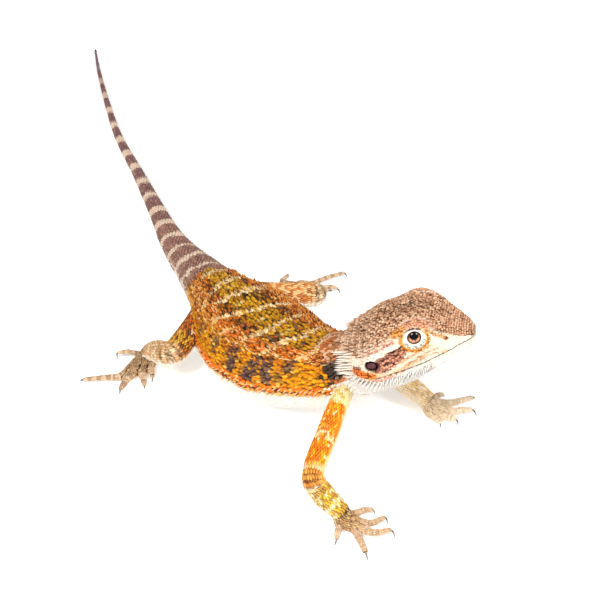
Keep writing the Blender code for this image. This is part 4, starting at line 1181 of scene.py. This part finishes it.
class Coat:
    """Scales and spines gathered for one mesh."""

    # Half the width of one scale on the unwrap, and the places that the scales of all coats have taken
    PATCH = 0.0015
    COVERED = []

    def __init__(self, name, slot, skin):
        self.name, self.slot, self.skin = name, slot, skin
        self.points, self.faces, self.colours, self.uvs, self.count = [], [], [], [], 0

    def free(self, places, reach):
        """Marks the places that no earlier scales have covered."""
        if not self.COVERED:
            return np.ones(len(places), bool)
        tree = tree_of(np.vstack(self.COVERED))
        return np.array([tree.find(p)[2] > reach for p in places])

    def add(self, kind, roots, normals, ways, sizes, colours, unwrap, tip=None):
        """Adds copies of a template. sizes holds length, width and height; tip colours the free end."""
        corners, faces, shade = TEMPLATES[kind]
        across = unit(np.cross(normals, ways))
        out = np.cross(ways, across) if kind == "spine" else normals
        u, v, w = (corners[:, i][None, :, None] for i in range(3))
        long, wide, high = (np.asarray(sizes)[:, i][:, None, None] for i in range(3))
        points = roots[:, None, :] + ways[:, None, :] * u * long + across[:, None, :] * v * wide
        points = points + out[:, None, :] * w * high
        if kind == "spine":
            points = points - normals[:, None, :] * SPINE_CURVE * u**2 * long
        points[:, :, 2] = np.maximum(points[:, :, 2], FLOOR + 0.01)
        # Painted shade and light: each scale or spine is darkened towards its sunk root and brightened a
        # little at its keel or point; pale ones show less of the shade
        paleness = np.interp(colours.mean(axis=1), (120, 235), (1.0, 0.35))
        light = 1.05 - 0.50 * (1 - shade)[None, :] * paleness[:, None]
        made = colours[:, None, :] * light[:, :, None]
        if tip is not None:
            made = mix(made, np.reshape(tip, (-1, 1, 3)), smooth(shade, *TIP_SPAN[kind]))
        patch = corners[:, :2] / np.abs(corners[:, :2]).max(axis=0) * self.PATCH
        self.points.append(points.reshape(-1, 3))
        self.colours.append(np.clip(made, 0, 255).reshape(-1, 3))
        self.uvs.append((unwrap[:, None, :] + patch[None, :, :]).reshape(-1, 2))
        first = np.arange(len(roots)) * len(corners) + self.count
        self.faces.append((faces[None, :, :] + first[:, None, None]).reshape(-1, 3))
        self.count += len(roots) * len(corners)

    def cover(self, name, kind, span, along, around, size, way=-1.0, loose=0.75, jitter=0.14,
              sides=(0, 181), *, keel):
        """Covers a span of a part with scales. along and around are their pitches. size gives length, width
        and height from t and degrees; keel is the colour that their middles turn to, and how far."""
        part = PARTS[name]
        t, angle = rows_of(part, *span, along, around)
        t = t + DRAW.normal(0, jitter, len(t)) * part.last / part.far[-1]
        angle = angle + DRAW.normal(0, jitter / 5, len(t))
        side = np.abs(signed_degrees(angle))
        wanted = (side >= sides[0]) & (side < sides[1])
        t, angle = t[wanted], angle[wanted]
        places, normals, away = self.skin.settle(part.skin(t, angle))
        keep = (away < loose) & open_skin(places) & self.free(places, 0.5)
        t, angle, places, normals = t[keep], angle[keep], places[keep], normals[keep]
        if not len(t):
            return
        self.COVERED.append(places)
        ways = along_skin(part.forward(t, angle) * way, normals)
        colours = paint(name, t, angle, places, DRAW.random(len(t)))
        colours = colours * (0.96 + 0.08 * DRAW.random(len(t)))[:, None]
        sizes = np.stack(np.broadcast_arrays(*size(t, np.abs(signed_degrees(angle)))), axis=-1)
        sizes = sizes * (1 + DRAW.normal(0, 0.08, len(t)))[:, None]
        self.add(kind, places, normals, ways, sizes, colours, part.unwrap(t, angle), mix(colours, *keel))

    def grow(self, name, t, angle, length, radius, lift, lean=0.0, tip=None, base=None, loose=1.6):
        """Spines at the given places: lift is how far they stand out in degrees, and lean how far they
        point down the side."""
        part = PARTS[name]
        given = np.broadcast_arrays(t, angle, length, radius, lift, lean)
        places, normals, away = self.skin.settle(part.skin(given[0], given[1]))
        keep = (away < loose) & open_skin(places)
        t, angle, length, radius, lift, lean = (v[keep] for v in given)
        places, normals = places[keep], normals[keep]
        ahead = part.forward(t, angle)
        down = np.cross(normals, ahead) * np.where(np.sin(angle) > 0, 1.0, -1.0)[:, None]
        flat = along_skin(-ahead + down * lean[:, None], normals)
        rise = np.radians(lift)[:, None]
        ways = unit(flat * np.cos(rise) + normals * np.sin(rise))
        length = length * (1 + DRAW.normal(0, 0.10, len(t)))
        speck = DRAW.random(len(t))
        colours = paint(name, t, angle, places, speck) if base is None else np.tile(base, (len(t), 1))
        sunk = places - ways * (radius * 0.9)[:, None]
        sizes = np.stack([length + radius, radius, radius], axis=-1)
        self.add("spine", sunk, normals, ways, sizes, colours, part.unwrap(t, angle), tip)

    def build(self, material):
        points, faces, colours = (np.vstack(rows) for rows in (self.points, self.faces, self.colours))
        mesh = painted_piece(self.name, points, faces, colours, material, self.slot)
        layer = mesh.uv_layers.new(name="OFBake")
        corner = np.empty(len(mesh.loops), np.int32)
        mesh.loops.foreach_get("vertex_index", corner)
        layer.data.foreach_set("uv", np.vstack(self.uvs)[corner].astype(np.float32).ravel())
        print(self.name, "triangles", len(faces))


def scale_body(coats):
    def size(t, side):
        belly = smooth(side, 90, 98)
        long = np.interp(t, (0, 4, 8, 10, 16), (1.35, 1.75, 1.5, 1.5, 1.4)) * (1 - 0.12 * belly)
        wide = np.interp(t, (0, 2, 5, 8, 10, 16), (0.62, 0.8, 1.0, 1.1, 1.1, 1.05))
        high = (0.36 - 0.28 * belly) * np.interp(t, (0, 2, 6, 9, 16), (0.35, 0.5, 0.8, 1.0, 1.05))
        return long, wide, high

    def neck_size(t, side):
        return 1.3, 1.1, 0.34

    along = (0, 4, 8, 10, 16), (1.0, 1.2, 1.0, 0.90, 0.86)
    around = (0, 2, 5, 8, 10, 16), (0.55, 0.72, 0.88, 0.95, 0.92, 0.88)
    pale, golden = ((244, 214, 190), 0.25), ((255, 190, 40), 0.22)
    coats["tail"].cover("body", "scale", (0.0, 9.0), along, around, size, jitter=0.05, keel=pale)
    coats["back"].cover("body", "scale", (9.0, 15.9), along, around, size, jitter=0.16, keel=golden)
    coats["neck"].cover("neck", "scale", (0.0, 3.0), even(0.95), even(1.0), neck_size, keel=pale)


def scale_limbs(coats):
    def size(t, side):
        under = smooth(side, 100, 130)
        return 1.45, 0.80 + 0.1 * under, 0.26 - 0.14 * under

    def toe_size(t, side):
        under = smooth(side, 100, 130)
        return 0.92 - 0.2 * under, 0.70, 0.18 - 0.08 * under

    pale, yellow, tawny = ((250, 230, 196), 0.4), ((255, 220, 90), 0.42), ((255, 206, 140), 0.25)
    for name in LIMBS:
        pitches = even(0.92), even(0.82)
        keel = yellow if name == "arm_right" else tawny
        coats["limb"].cover(name, "scale", (0.0, 4.0), *pitches, size, 1.0, jitter=0.03, keel=keel)
        for k in range(5):
            toe, pitches = f"{name}_toe_{k + 1}", (even(0.66), even(0.64))
            coats["foot"].cover(toe, "scale", (0.2, 4.0), *pitches, toe_size, 1.0, 0.5, 0.03, keel=pale)


def scale_head(coat):
    """Beads: high and wider on the crown, low and longer on the face."""
    at = (0, 3, 6, 8, 11)
    crown = (0.84, 0.78, 0.74, 0.66, 0.58), (0.74, 0.70, 0.66, 0.60, 0.52), (1.12, 0.36), (0, 60)
    face = (0.80, 0.74, 0.72, 0.70, 0.58), (0.74, 0.66, 0.64, 0.62, 0.52), (1.2, 0.16), (60, 181)
    for bead_sizes, pitches, (long, high), sides in (crown, face):

        def size(t, side):
            wide = np.interp(t, at, bead_sizes)
            return wide * long, wide, wide * high

        pitch = at, pitches
        keel = (250, 216, 186), 0.3
        coat.cover("head", "bead", (0.7, 10.9), pitch, pitch, size, jitter=0.1, sides=sides, keel=keel)


TUFT_SPACING = 0.45
WHITE_TIP = (254, 249, 240)


def body_spines(coat):
    # The fringe along each flank in two rows, and short spines above it
    for row, (degrees, length) in enumerate(((84, 1.7), (90, 2.3))):
        t = np.linspace(9.7, 15.1, 44) + 0.04 * row
        a, b = both_sides(t, degrees + DRAW.normal(0, 1.2, len(t)))
        long = length * np.interp(a, (9.7, 11.0), (0.6, 1.0))
        coat.grow("body", a, b, long, 0.34, 26, 0.75, tip=(253, 247, 236), base=(255, 176, 90))
    a, b = both_sides(DRAW.uniform(10.2, 14.8, 200), DRAW.uniform(46, 78, 200))
    coat.grow("body", a, b, 1.1, 0.32, 34, 0.25)
    # Upright dark and rusty spines along both edges of the back, in tufts
    t = DRAW.uniform(9.3, 15.2, 330)
    t = t + 0.06 * np.sin(t * 2 * math.pi / TUFT_SPACING)
    a, b = both_sides(t, DRAW.uniform(22, 52, 330))
    tall = 1.0 + 0.7 * (np.sin(a * 2 * math.pi / TUFT_SPACING) > 0.2)
    for first, base, tip in ((0, (96, 44, 16), (206, 104, 26)), (1, (214, 96, 14), (255, 180, 84))):
        coat.grow("body", a[first::2], b[first::2], tall[first::2], 0.32, 56, 0.1, tip=tip, base=base)
    # Spiny pale bars over the back, and clusters at their ends
    for at, right, left in BARS:
        degrees = np.arange(-33, 34, 4.4)
        for row in (-0.05, 0.03):
            t = at + np.where(degrees < 0, right, left) * np.abs(degrees) / 30 + row
            turned = np.radians(degrees + DRAW.normal(0, 0.8, len(degrees)))
            coat.grow("body", t, turned, 1.15, 0.34, 34, tip=(252, 234, 198), base=(222, 166, 98))
    for at, mid, long, wide in LOBES:
        a, b = both_sides(at + DRAW.uniform(-long, long, 30), mid + DRAW.uniform(-wide, wide, 30))
        coat.grow("body", a, b, 1.2, 0.32, 38, 0.15, tip=(252, 178, 92))
        # The pale scalloped rim of the lobe
        turn = np.radians(np.linspace(-20, 200, 34))
        a, b = both_sides(at + long * 1.04 * np.cos(turn), mid + wide * 1.04 * np.sin(turn))
        coat.grow("body", a, b, 0.8, 0.28, 34, 0.1, tip=(255, 232, 184), base=(252, 198, 122))


def tail_spines(coat):
    for ring in range(14):
        t = 9.1 - 0.22 * ring
        size = 0.45 + 0.55 * (t - 6.0) / 3.1
        turned = np.radians(np.arange(-84, 85, 14.0) + 7 * (ring % 2))
        coat.grow("body", t, turned, 1.15 * size, 0.28 * size + 0.05, 28, tip=(232, 208, 176))


def head_spines(coat):
    # Rows round the back of the skull, longest at its rear corners
    rows = (0.9, 1.9, 58), (1.3, 1.9, 50), (1.7, 1.8, 42), (2.2, 1.5, 36), (2.6, 1.2, 34), (3.0, 1.0, 32)
    for row, (t, length, lift) in enumerate(rows):
        a, b = both_sides(t, np.arange(4 + 3 * (row % 2), 60, 6.0))
        corner = 0.7 + 0.5 * bell(np.abs(np.degrees(b)), 52, 16)
        coat.grow("head", a, b, length * corner, 0.34, lift, tip=(244, 218, 192), base=(206, 152, 116))
    for t, length, lift in ((0.6, 3.9, 70), (0.95, 4.3, 58), (1.35, 3.6, 44)):
        a, b = both_sides(t, np.arange(58, 108, 6.0) + DRAW.normal(0, 1.2, 9))
        coat.grow("head", a, b, length, 0.38, lift, 0.25, tip=WHITE_TIP, base=(250, 230, 208))
    # Pale rows behind the eye, and above the ear
    for t, length in ((2.2, 1.5), (2.6, 1.2), (3.0, 1.0), (3.5, 0.8)):
        a, b = both_sides(t, np.arange(52, 73, 4) - 3.0 * (t - 2.2))
        coat.grow("head", a, b, length, 0.32, 28, 0.1, tip=WHITE_TIP, base=(240, 210, 184))


def beard(coat):
    """Fine spines that hang from the throat in rows, longest at the corner of the jaw."""
    for row, degrees in enumerate((97, 102, 107, 113, 120, 128, 137, 148, 161, 174)):
        t = np.arange(1.1 + 0.13 * (row % 2), 6.6 - 0.15 * row, 0.26)
        a, b = both_sides(t, degrees + DRAW.normal(0, 0.8, len(t)))
        long = np.interp(a, (1.1, 2.4, 4.2, 6.6), (3.2, 3.0, 2.6, 1.2))
        long = long * np.interp(degrees, (97, 107, 136, 176), (0.8, 1.0, 0.9, 0.6))
        coat.grow("head", a, b, long, 0.25, 34, 1.8, tip=(222, 214, 206), base=(255, 252, 246))


def limb_spines(coat):
    """Raised scales along the rear edge of each limb, pointing to the hand or foot."""
    t = np.linspace(0.6, 3.8, 36)
    for name in LIMBS:
        back = -1.0 if "right" in name else 1.0
        for degrees, length in ((72, 0.8), (92, 1.0), (112, 0.8)):
            turned = math.radians(back * degrees)
            coat.grow(name, t, turned, length, 0.24, 152, tip=(250, 232, 196), loose=0.8)


def labials(coat):
    """Plates along both lips, from the corner of the mouth to the snout."""
    part = PARTS["head"]
    for side, (above, size) in itertools.product((1, -1), ((0.66, 0.9), (-0.64, 0.85))):
        distance = part.distance_at(2.95)
        while distance < part.distance_at(10.7):
            t = np.array([float(part.t_at(distance))])
            angles = np.radians(np.linspace(60, 130, 141)) * side
            x, _, z = head_local(np.full(len(angles), t[0]), angles, SKIN_DEPTH).T
            angle = angles[[np.abs(z - mouth_level(x) - above).argmin()]]
            long = float(np.interp(t[0], (3, 6, 9, 11), (1.0, 1.25, 1.15, 0.8))) * size
            places, normals, _ = coat.skin.settle(part.skin(t, angle))
            ways = along_skin(-part.forward(t, angle), normals)
            colours = paint("head", t, angle, places, DRAW.random(1))
            sizes = [(long * 1.04, 0.95, 0.2)]
            coat.add("bead", places, normals, ways, sizes, colours, part.unwrap(t, angle))
            coat.COVERED.append(places)
            distance += long


# Eyes, lids, claws and ears

def make_eyeball(eye, material):
    """A ball with a bulging cornea, and the pupil and iris in its colours."""
    sides = 72
    polar = np.radians(np.concatenate([np.linspace(0.4, 42, 46), np.linspace(46, 176, 22)]))
    p, a = np.meshgrid(polar, round_angles(sides), indexing="ij")
    radius = EYE_RADIUS - 0.02 + CORNEA_RISE * np.exp(-((np.degrees(p) / CORNEA_SPREAD) ** 4))
    across = radius * np.sin(p)
    points = eye.place(across * np.cos(a), across * np.sin(a), radius * np.cos(p)).reshape(-1, 3)
    reach = EYE_RADIUS * np.sin(np.minimum(p, math.pi / 2))
    ring, up = reach.ravel(), np.sin(a).ravel()
    pupil = np.hypot(reach * np.cos(a), reach * np.sin(a) - PUPIL_RISE).ravel()
    streak = noise(np.stack([np.cos(a).ravel() * 9, np.sin(a).ravel() * 9, ring * 0.6], axis=-1), 0.9, 8)
    # Painted shadow of the upper lid: the iris is dark brown at the top and pale copper at the bottom
    colour = mix((92, 44, 24), (232, 160, 124), smooth(up, 0.5, -0.5) * 0.95)
    colour = mix(colour, (84, 38, 20), smooth(streak, 0.5, 0.8) * 0.6)
    colour = mix(colour, (30, 16, 12), smooth(ring, *IRIS_EDGE))
    colour = mix(colour, (2, 2, 3), smooth(pupil, PUPIL_RADIUS + 0.06, PUPIL_RADIUS - 0.02))
    faces = ring_faces(len(polar), sides)[:, ::-1]
    painted_piece("eyeball_" + eye.word, points, faces, colour, material, "eye", "eye_" + eye.word)


def lid_surface(eye, skin, turn, share):
    """Points of the lids: share runs from the rim of the opening at 0 to the outer edge at 1."""
    circle = np.stack([np.cos(turn), np.sin(turn)], axis=-1)
    inner, outer = circle * eye.OPENING, circle * eye.LIDS + eye.LIDS_AT
    heights = []
    for point in eye.place(outer[:, 0], outer[:, 1], np.full(len(turn), 12.0)):
        hit = skin.tree.ray_cast(Vector(point), Vector(-eye.look), 14.0)[0]
        heights.append(12.0 if hit is None else (np.array(hit) - eye.centre) @ eye.look)
    edge_height = np.array(heights) - 0.04
    rim_height = math.sqrt(EYE_RADIUS**2 - eye.OPENING[0] ** 2) + 0.36
    within_rim = np.minimum(share, 0.0)
    across = inner + (outer - inner) * np.clip(share, -0.2, 1.0)[:, None]
    across = across * (1 + within_rim * 0.4)[:, None]
    height = rim_height + (edge_height - rim_height) * smooth(share, -0.1, 1.0)
    height = height + 0.42 * np.sin(math.pi * np.clip(share, 0, 1)) ** 0.9 + within_rim * 3.2
    height = height - 0.10 * bell(share, 0.36, 0.05) - 0.08 * bell(share, 0.7, 0.05)
    return eye.place(across[:, 0], across[:, 1], height)


def lid_colour(turn, share, speck):
    low = smooth(np.sin(turn), 0.1, -0.3)
    colour = mix((253, 248, 240), (246, 238, 220), low)
    colour = mix(colour, (134, 128, 122), (speck < 0.42) * low * within(share, 0.30, 0.78, 0.05) * 0.8)
    ends = smooth(np.abs(np.cos(turn - 0.5)), 0.2, 0.6)
    colour = mix(colour, (250, 184, 70), smooth(share, 0.72, 0.82) * ends * 0.9)
    colour = mix(colour, (238, 138, 34), smooth(share, 0.84, 0.92) * smooth(np.sin(turn), 0.9, 0.3) * 0.95)
    return mix(colour, (34, 22, 16), smooth(share, 0.09, 0.03))


def make_lids(eye, coat, material):
    sides = 96
    shares = np.concatenate([np.linspace(-0.2, 0.0, 5), np.linspace(0.05, 1.0, 24)])
    turn = round_angles(sides)
    points = np.vstack([lid_surface(eye, coat.skin, turn, np.full(sides, s)) for s in shares])
    s, a = np.meshgrid(shares, turn, indexing="ij")
    colours = lid_colour(a.ravel(), s.ravel(), np.full(len(points), 0.5))
    faces = ring_faces(len(shares), sides)[:, ::-1]
    painted_piece("lids_" + eye.word, points, faces, colours, material, "head_skin")
    # Beads of skin in rings round the opening
    for ring, share in enumerate((0.13, 0.26, 0.39, 0.52, 0.65, 0.78, 0.91, 1.0)):
        count = int(32 + 22 * share)
        turn = round_angles(count, 0.5 * (ring % 2))

        def places(turned, moved):
            return lid_surface(eye, coat.skin, turn + turned, np.full(count, share + moved))

        here = places(0, 0)
        away = here - places(0, -0.03)
        normals = unit(np.cross(places(0.03, 0) - here, away))
        normals = normals * np.sign(normals @ eye.look)[:, None]
        colours = lid_colour(turn, np.full(count, share), DRAW.random(count))
        unwrap = 0.90 + 0.03 * np.stack([np.cos(turn), np.sin(turn)], axis=-1) + (0, 0.04 * eye.side)
        size = 1.1 * (0.36 + 0.10 * share)
        sizes = np.tile((size, size, 0.10), (count, 1))
        coat.add("bead", here, normals, along_skin(away, normals), sizes, colours, unwrap)


def make_claw(name, end, along, tip, material, replaced):
    """A curved claw, narrower than it is deep, from the digit's end down to its tip at the floor."""
    rings, sides = 14, 10
    start = end - along * 0.35
    over = end + along * CLAW_ARCH * np.linalg.norm(tip - end)
    points, shade = [], []
    for share in np.linspace(0, 1, rings):
        here = start * (1 - share) ** 2 + over * 2 * share * (1 - share) + tip * share**2
        way = unit((over - start) * (1 - share) + (tip - over) * share)
        across = unit(np.cross((0.0, 0.0, 1.0), way))
        up = np.cross(way, across)
        radius = CLAW_RADIUS * (1 - share) ** 0.75 + 0.03
        for a in round_angles(sides):
            point = here + across * radius * 0.72 * math.cos(a) + up * radius * math.sin(a)
            point[2] = max(point[2], FLOOR + 0.01)
            points.append(point)
            shade.append(share)
    shade = np.array(shade)
    colour = mix((204, 172, 146), (104, 92, 92), smooth(shade, 0.12, 0.5))
    colour = mix(colour, (62, 56, 60), smooth(shade, 0.6, 1.0))
    painted_piece(name, points, ring_faces(rings, sides), colour, material, "claw", replaced)


def make_claws(material):
    for name, (joints, digits) in LIMBS.items():
        node = ("hand_claw_" if name.startswith("arm") else "foot_claw_") + name[4:]
        for k, digit in enumerate(digits, 1):
            rows = np.array(digit_rows(joints[-1], digit))[:, :3]
            tip = np.array((*digit[6:8], CLAW_HEIGHT))
            make_claw(f"claw_{name}_{k}", rows[-1], unit(rows[-1] - rows[-2]), tip, material, f"{node}_{k}")


# Materials

def set_inputs(node, **values):
    for name, value in values.items():
        node.inputs[name.replace("_", " ")].default_value = value


def add_node(tree, kind, links=None, **values):
    """A node of a kind, with values on its inputs and links into them."""
    node = tree.nodes.new("ShaderNode" + kind)
    set_inputs(node, **values)
    for name, source in (links or {}).items():
        tree.links.new(source, node.inputs[name])
    return node


def texture(tree, kind, scale, **values):
    """The outputs of a texture that is fixed to the object, at a scale per metre."""
    place = add_node(tree, "TexCoord").outputs["Object"]
    return add_node(tree, "Tex" + kind, {"Vector": place}, Scale=scale, **values).outputs


def ranged(tree, value, low, high, **span):
    return add_node(tree, "MapRange", {"Value": value}, To_Min=low, To_Max=high, **span).outputs["Result"]


def base_material(name, roughness, gloss, **values):
    material = bpy.data.materials.new(name)
    material.use_nodes = True
    tree = material.node_tree
    shader = tree.nodes["Principled BSDF"]
    set_inputs(shader, Roughness=roughness, Specular_IOR_Level=gloss, **values)
    return material, tree, shader


def tinted(tree, shader, by, strength):
    """The markings and painted shade multiplied by another colour or number."""
    colours = add_node(tree, "VertexColor")
    colours.layer_name = "markings_and_shade"
    tint = add_node(tree, "Mix")
    tint.data_type = "RGBA"
    tint.blend_type = "MULTIPLY"
    tint.inputs["Factor"].default_value = strength
    tree.links.new(colours.outputs["Color"], tint.inputs["A"])
    tree.links.new(by, tint.inputs["B"])
    tree.links.new(tint.outputs["Result"], shader.inputs["Base Color"])


def skin_material(name, roughness, grain, bump_height, translucent):
    """Markings and painted shade from the mesh, with fine darker grain, uneven gloss and a pebbled surface.
    """
    material, tree, shader = base_material(
        name, roughness, 0.18,
        Subsurface_Weight=translucent, Subsurface_Radius=(0.0012, 0.0006, 0.0003), Subsurface_Scale=0.6,
    )
    fine = texture(tree, "Noise", grain, Detail=4.0)["Fac"]
    tinted(tree, shader, ranged(tree, fine, 0.86, 1.06, From_Min=0.3, From_Max=0.7), 1.0)
    tree.links.new(ranged(tree, fine, roughness - 0.10, roughness + 0.12), shader.inputs["Roughness"])
    pebbles = texture(tree, "Voronoi", grain * 0.9)["Distance"]
    bump = add_node(tree, "Bump", {"Height": pebbles}, Distance=bump_height, Strength=0.5)
    bump.invert = True
    tree.links.new(bump.outputs["Normal"], shader.inputs["Normal"])
    return material


def eye_material():
    """A wet eye: the iris is faintly fibrous under a clear coat."""
    material, tree, shader = base_material("eye_wet", 0.4, 0.04, Coat_Weight=0.6, Coat_Roughness=0.02)
    fibres = texture(tree, "Noise", 4200.0, Detail=3.0)["Fac"]
    tinted(tree, shader, ranged(tree, fibres, 0.8, 1.15), 1.0)
    return material


def claw_material():
    material, tree, shader = base_material("claw_horn", 0.35, 0.35, Coat_Weight=0.2)
    tinted(tree, shader, texture(tree, "Noise", 2600.0)["Color"], 0.35)
    return material


def eardrum_material():
    material, tree, shader = base_material("eardrum_membrane", 0.42, 0.3)
    ramp = add_node(tree, "ValToRGB", {"Fac": texture(tree, "Noise", 900.0)["Fac"]})
    for element, colour in zip(ramp.color_ramp.elements, ((52, 24, 28), (108, 60, 60))):
        element.color = (*srgb_to_linear(colour), 1)
    tree.links.new(ramp.outputs["Color"], shader.inputs["Base Color"])
    return material


# The whole animal

FLESH = ["head", "lower_jaw", "neck", "torso", "tail_base", "tail_middle", "tail_end"]
LIMB_NODES = ["upper_arm", "forearm", "hand", "thigh", "shank", "foot"]


def make_skin(material):
    mesh = make_skin_mesh()
    sculpt_head(mesh)
    points = points_of(mesh)
    names, ts, angles = locate(points)
    speck = np.clip((noise(points, 0.7, 12) - 0.5) * 2.2 + 0.5, 0, 1)
    colours = np.zeros((len(points), 3))
    for name in PARTS:
        here = names == name
        if here.any():
            colours[here] = paint(name, ts[here], angles[here], points[here], speck[here])
    # Painted shade in the gaps between scales: the skin is darkened well below dark scales, and hardly
    # between pale ones
    colours *= np.interp(colours.mean(axis=1), (110, 235), (0.42, 0.94))[:, None]
    for side in (1, -1):
        share = ear_share(points, side)
        colours = mix(colours, (58, 26, 28), smooth(share, 1.06, 0.9))
        near = away_from(row_to_head(points), mirrored(NOSTRIL_AT, side))
        colours = mix(colours, (150, 70, 34), smooth(near, 0.75, 0.4))
    set_colours(mesh, colours)
    mesh.materials.clear()
    limbs = [f"{node}_{side}" for node in LIMB_NODES for side in ("left", "right")]
    new_piece("skin", mesh, material, "back_skin", *FLESH, *limbs)
    print("skin triangles", sum(len(p.vertices) - 2 for p in mesh.polygons))
    return Skin(mesh)


def make_animal():
    soft = {"roughness": 0.68, "grain": 1900.0, "bump_height": 0.00012, "translucent": 0.06}
    horny = {"roughness": 0.56, "grain": 2600.0, "bump_height": 0.00005, "translucent": 0.04}
    skin = make_skin(skin_material("skin_scaled", **soft))
    scale_finish = skin_material("scales_horny", **horny)
    words = "head", "neck", "back", "tail", "limb", "foot"
    coats = {word: Coat(word + "_scales", word + "_skin", skin) for word in words}
    labials(coats["head"])
    scale_head(coats["head"])
    scale_body(coats)
    scale_limbs(coats)
    spines = Coat("spines", "back_skin", skin)
    for grown in (body_spines, tail_spines, head_spines, beard, limb_spines):
        grown(spines)
    eye_finish = eye_material()
    for eye in EYES:
        make_eyeball(eye, eye_finish)
        make_lids(eye, coats["head"], scale_finish)
    for coat in (*coats.values(), spines):
        coat.build(scale_finish)
    make_claws(claw_material())
    drum = eardrum_material()
    for word in ("left", "right"):
        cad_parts["eardrum_" + word].material_slots[0].material = drum


# The studio

CAMERA_AT = (0.32765, -0.19589, 0.31807)
CAMERA_FORWARD = (-0.66088, 0.42918, -0.61566)
FLOOR_SIZE = 4000.0
PAPER, PURE_WHITE, PAPER_GLOW = (0.86, 0.86, 0.86, 1), (1.0, 1.0, 1.0, 1), 0.35
SKY_STRENGTH, LAMP_SIZE = 0.32, 0.32
LAMPS = {"key": ((0.35, -0.75, 0.95), 12.0), "fill": ((0.75, 0.25, 0.8), 7.0)}


def make_camera():
    data = bpy.data.cameras.new("camera")
    data.lens, data.sensor_width = 100.0, 36.0
    data.clip_start = 0.01
    camera = new_object("camera", data)
    forward = Vector(CAMERA_FORWARD).normalized()
    right = forward.cross(Vector((0, 0, 1))).normalized()
    turn = Matrix((right, right.cross(forward), -forward)).transposed().to_4x4()
    camera.matrix_world = Matrix.Translation(CAMERA_AT) @ turn
    bpy.context.scene.camera = camera


def area_light(name, at, power):
    """A round light that faces the animal."""
    data = bpy.data.lights.new(name, "AREA")
    data.shape, data.size, data.energy = "DISK", LAMP_SIZE, power
    light = new_object(name, data)
    light.location = at
    light.rotation_euler = (-Vector(at)).to_track_quat("-Z", "Y").to_euler()


def make_studio():
    points = np.array([(-1, -1, 0), (1, -1, 0), (1, 1, 0), (-1, 1, 0)], float) * FLOOR_SIZE / 2
    floor = new_object("floor", mesh_from("floor", points, [(0, 1, 2, 3)]))
    tones = {"Base_Color": PAPER, "Emission_Color": PURE_WHITE, "Emission_Strength": PAPER_GLOW}
    paper = base_material("floor_paper", 0.9, 0.1, **tones)[0]
    floor.data.materials.append(paper)
    world = bpy.data.worlds.new("studio")
    bpy.context.scene.world = world
    world.use_nodes = True
    set_inputs(world.node_tree.nodes["Background"], Color=PURE_WHITE, Strength=SKY_STRENGTH)
    for name, (at, power) in LAMPS.items():
        area_light(name, at, power)
    bpy.context.scene.view_settings.view_transform = "Standard"
    bpy.context.scene.view_settings.look = "None"


make_animal()
make_studio()
make_camera()

bpy.context.view_layer.update()
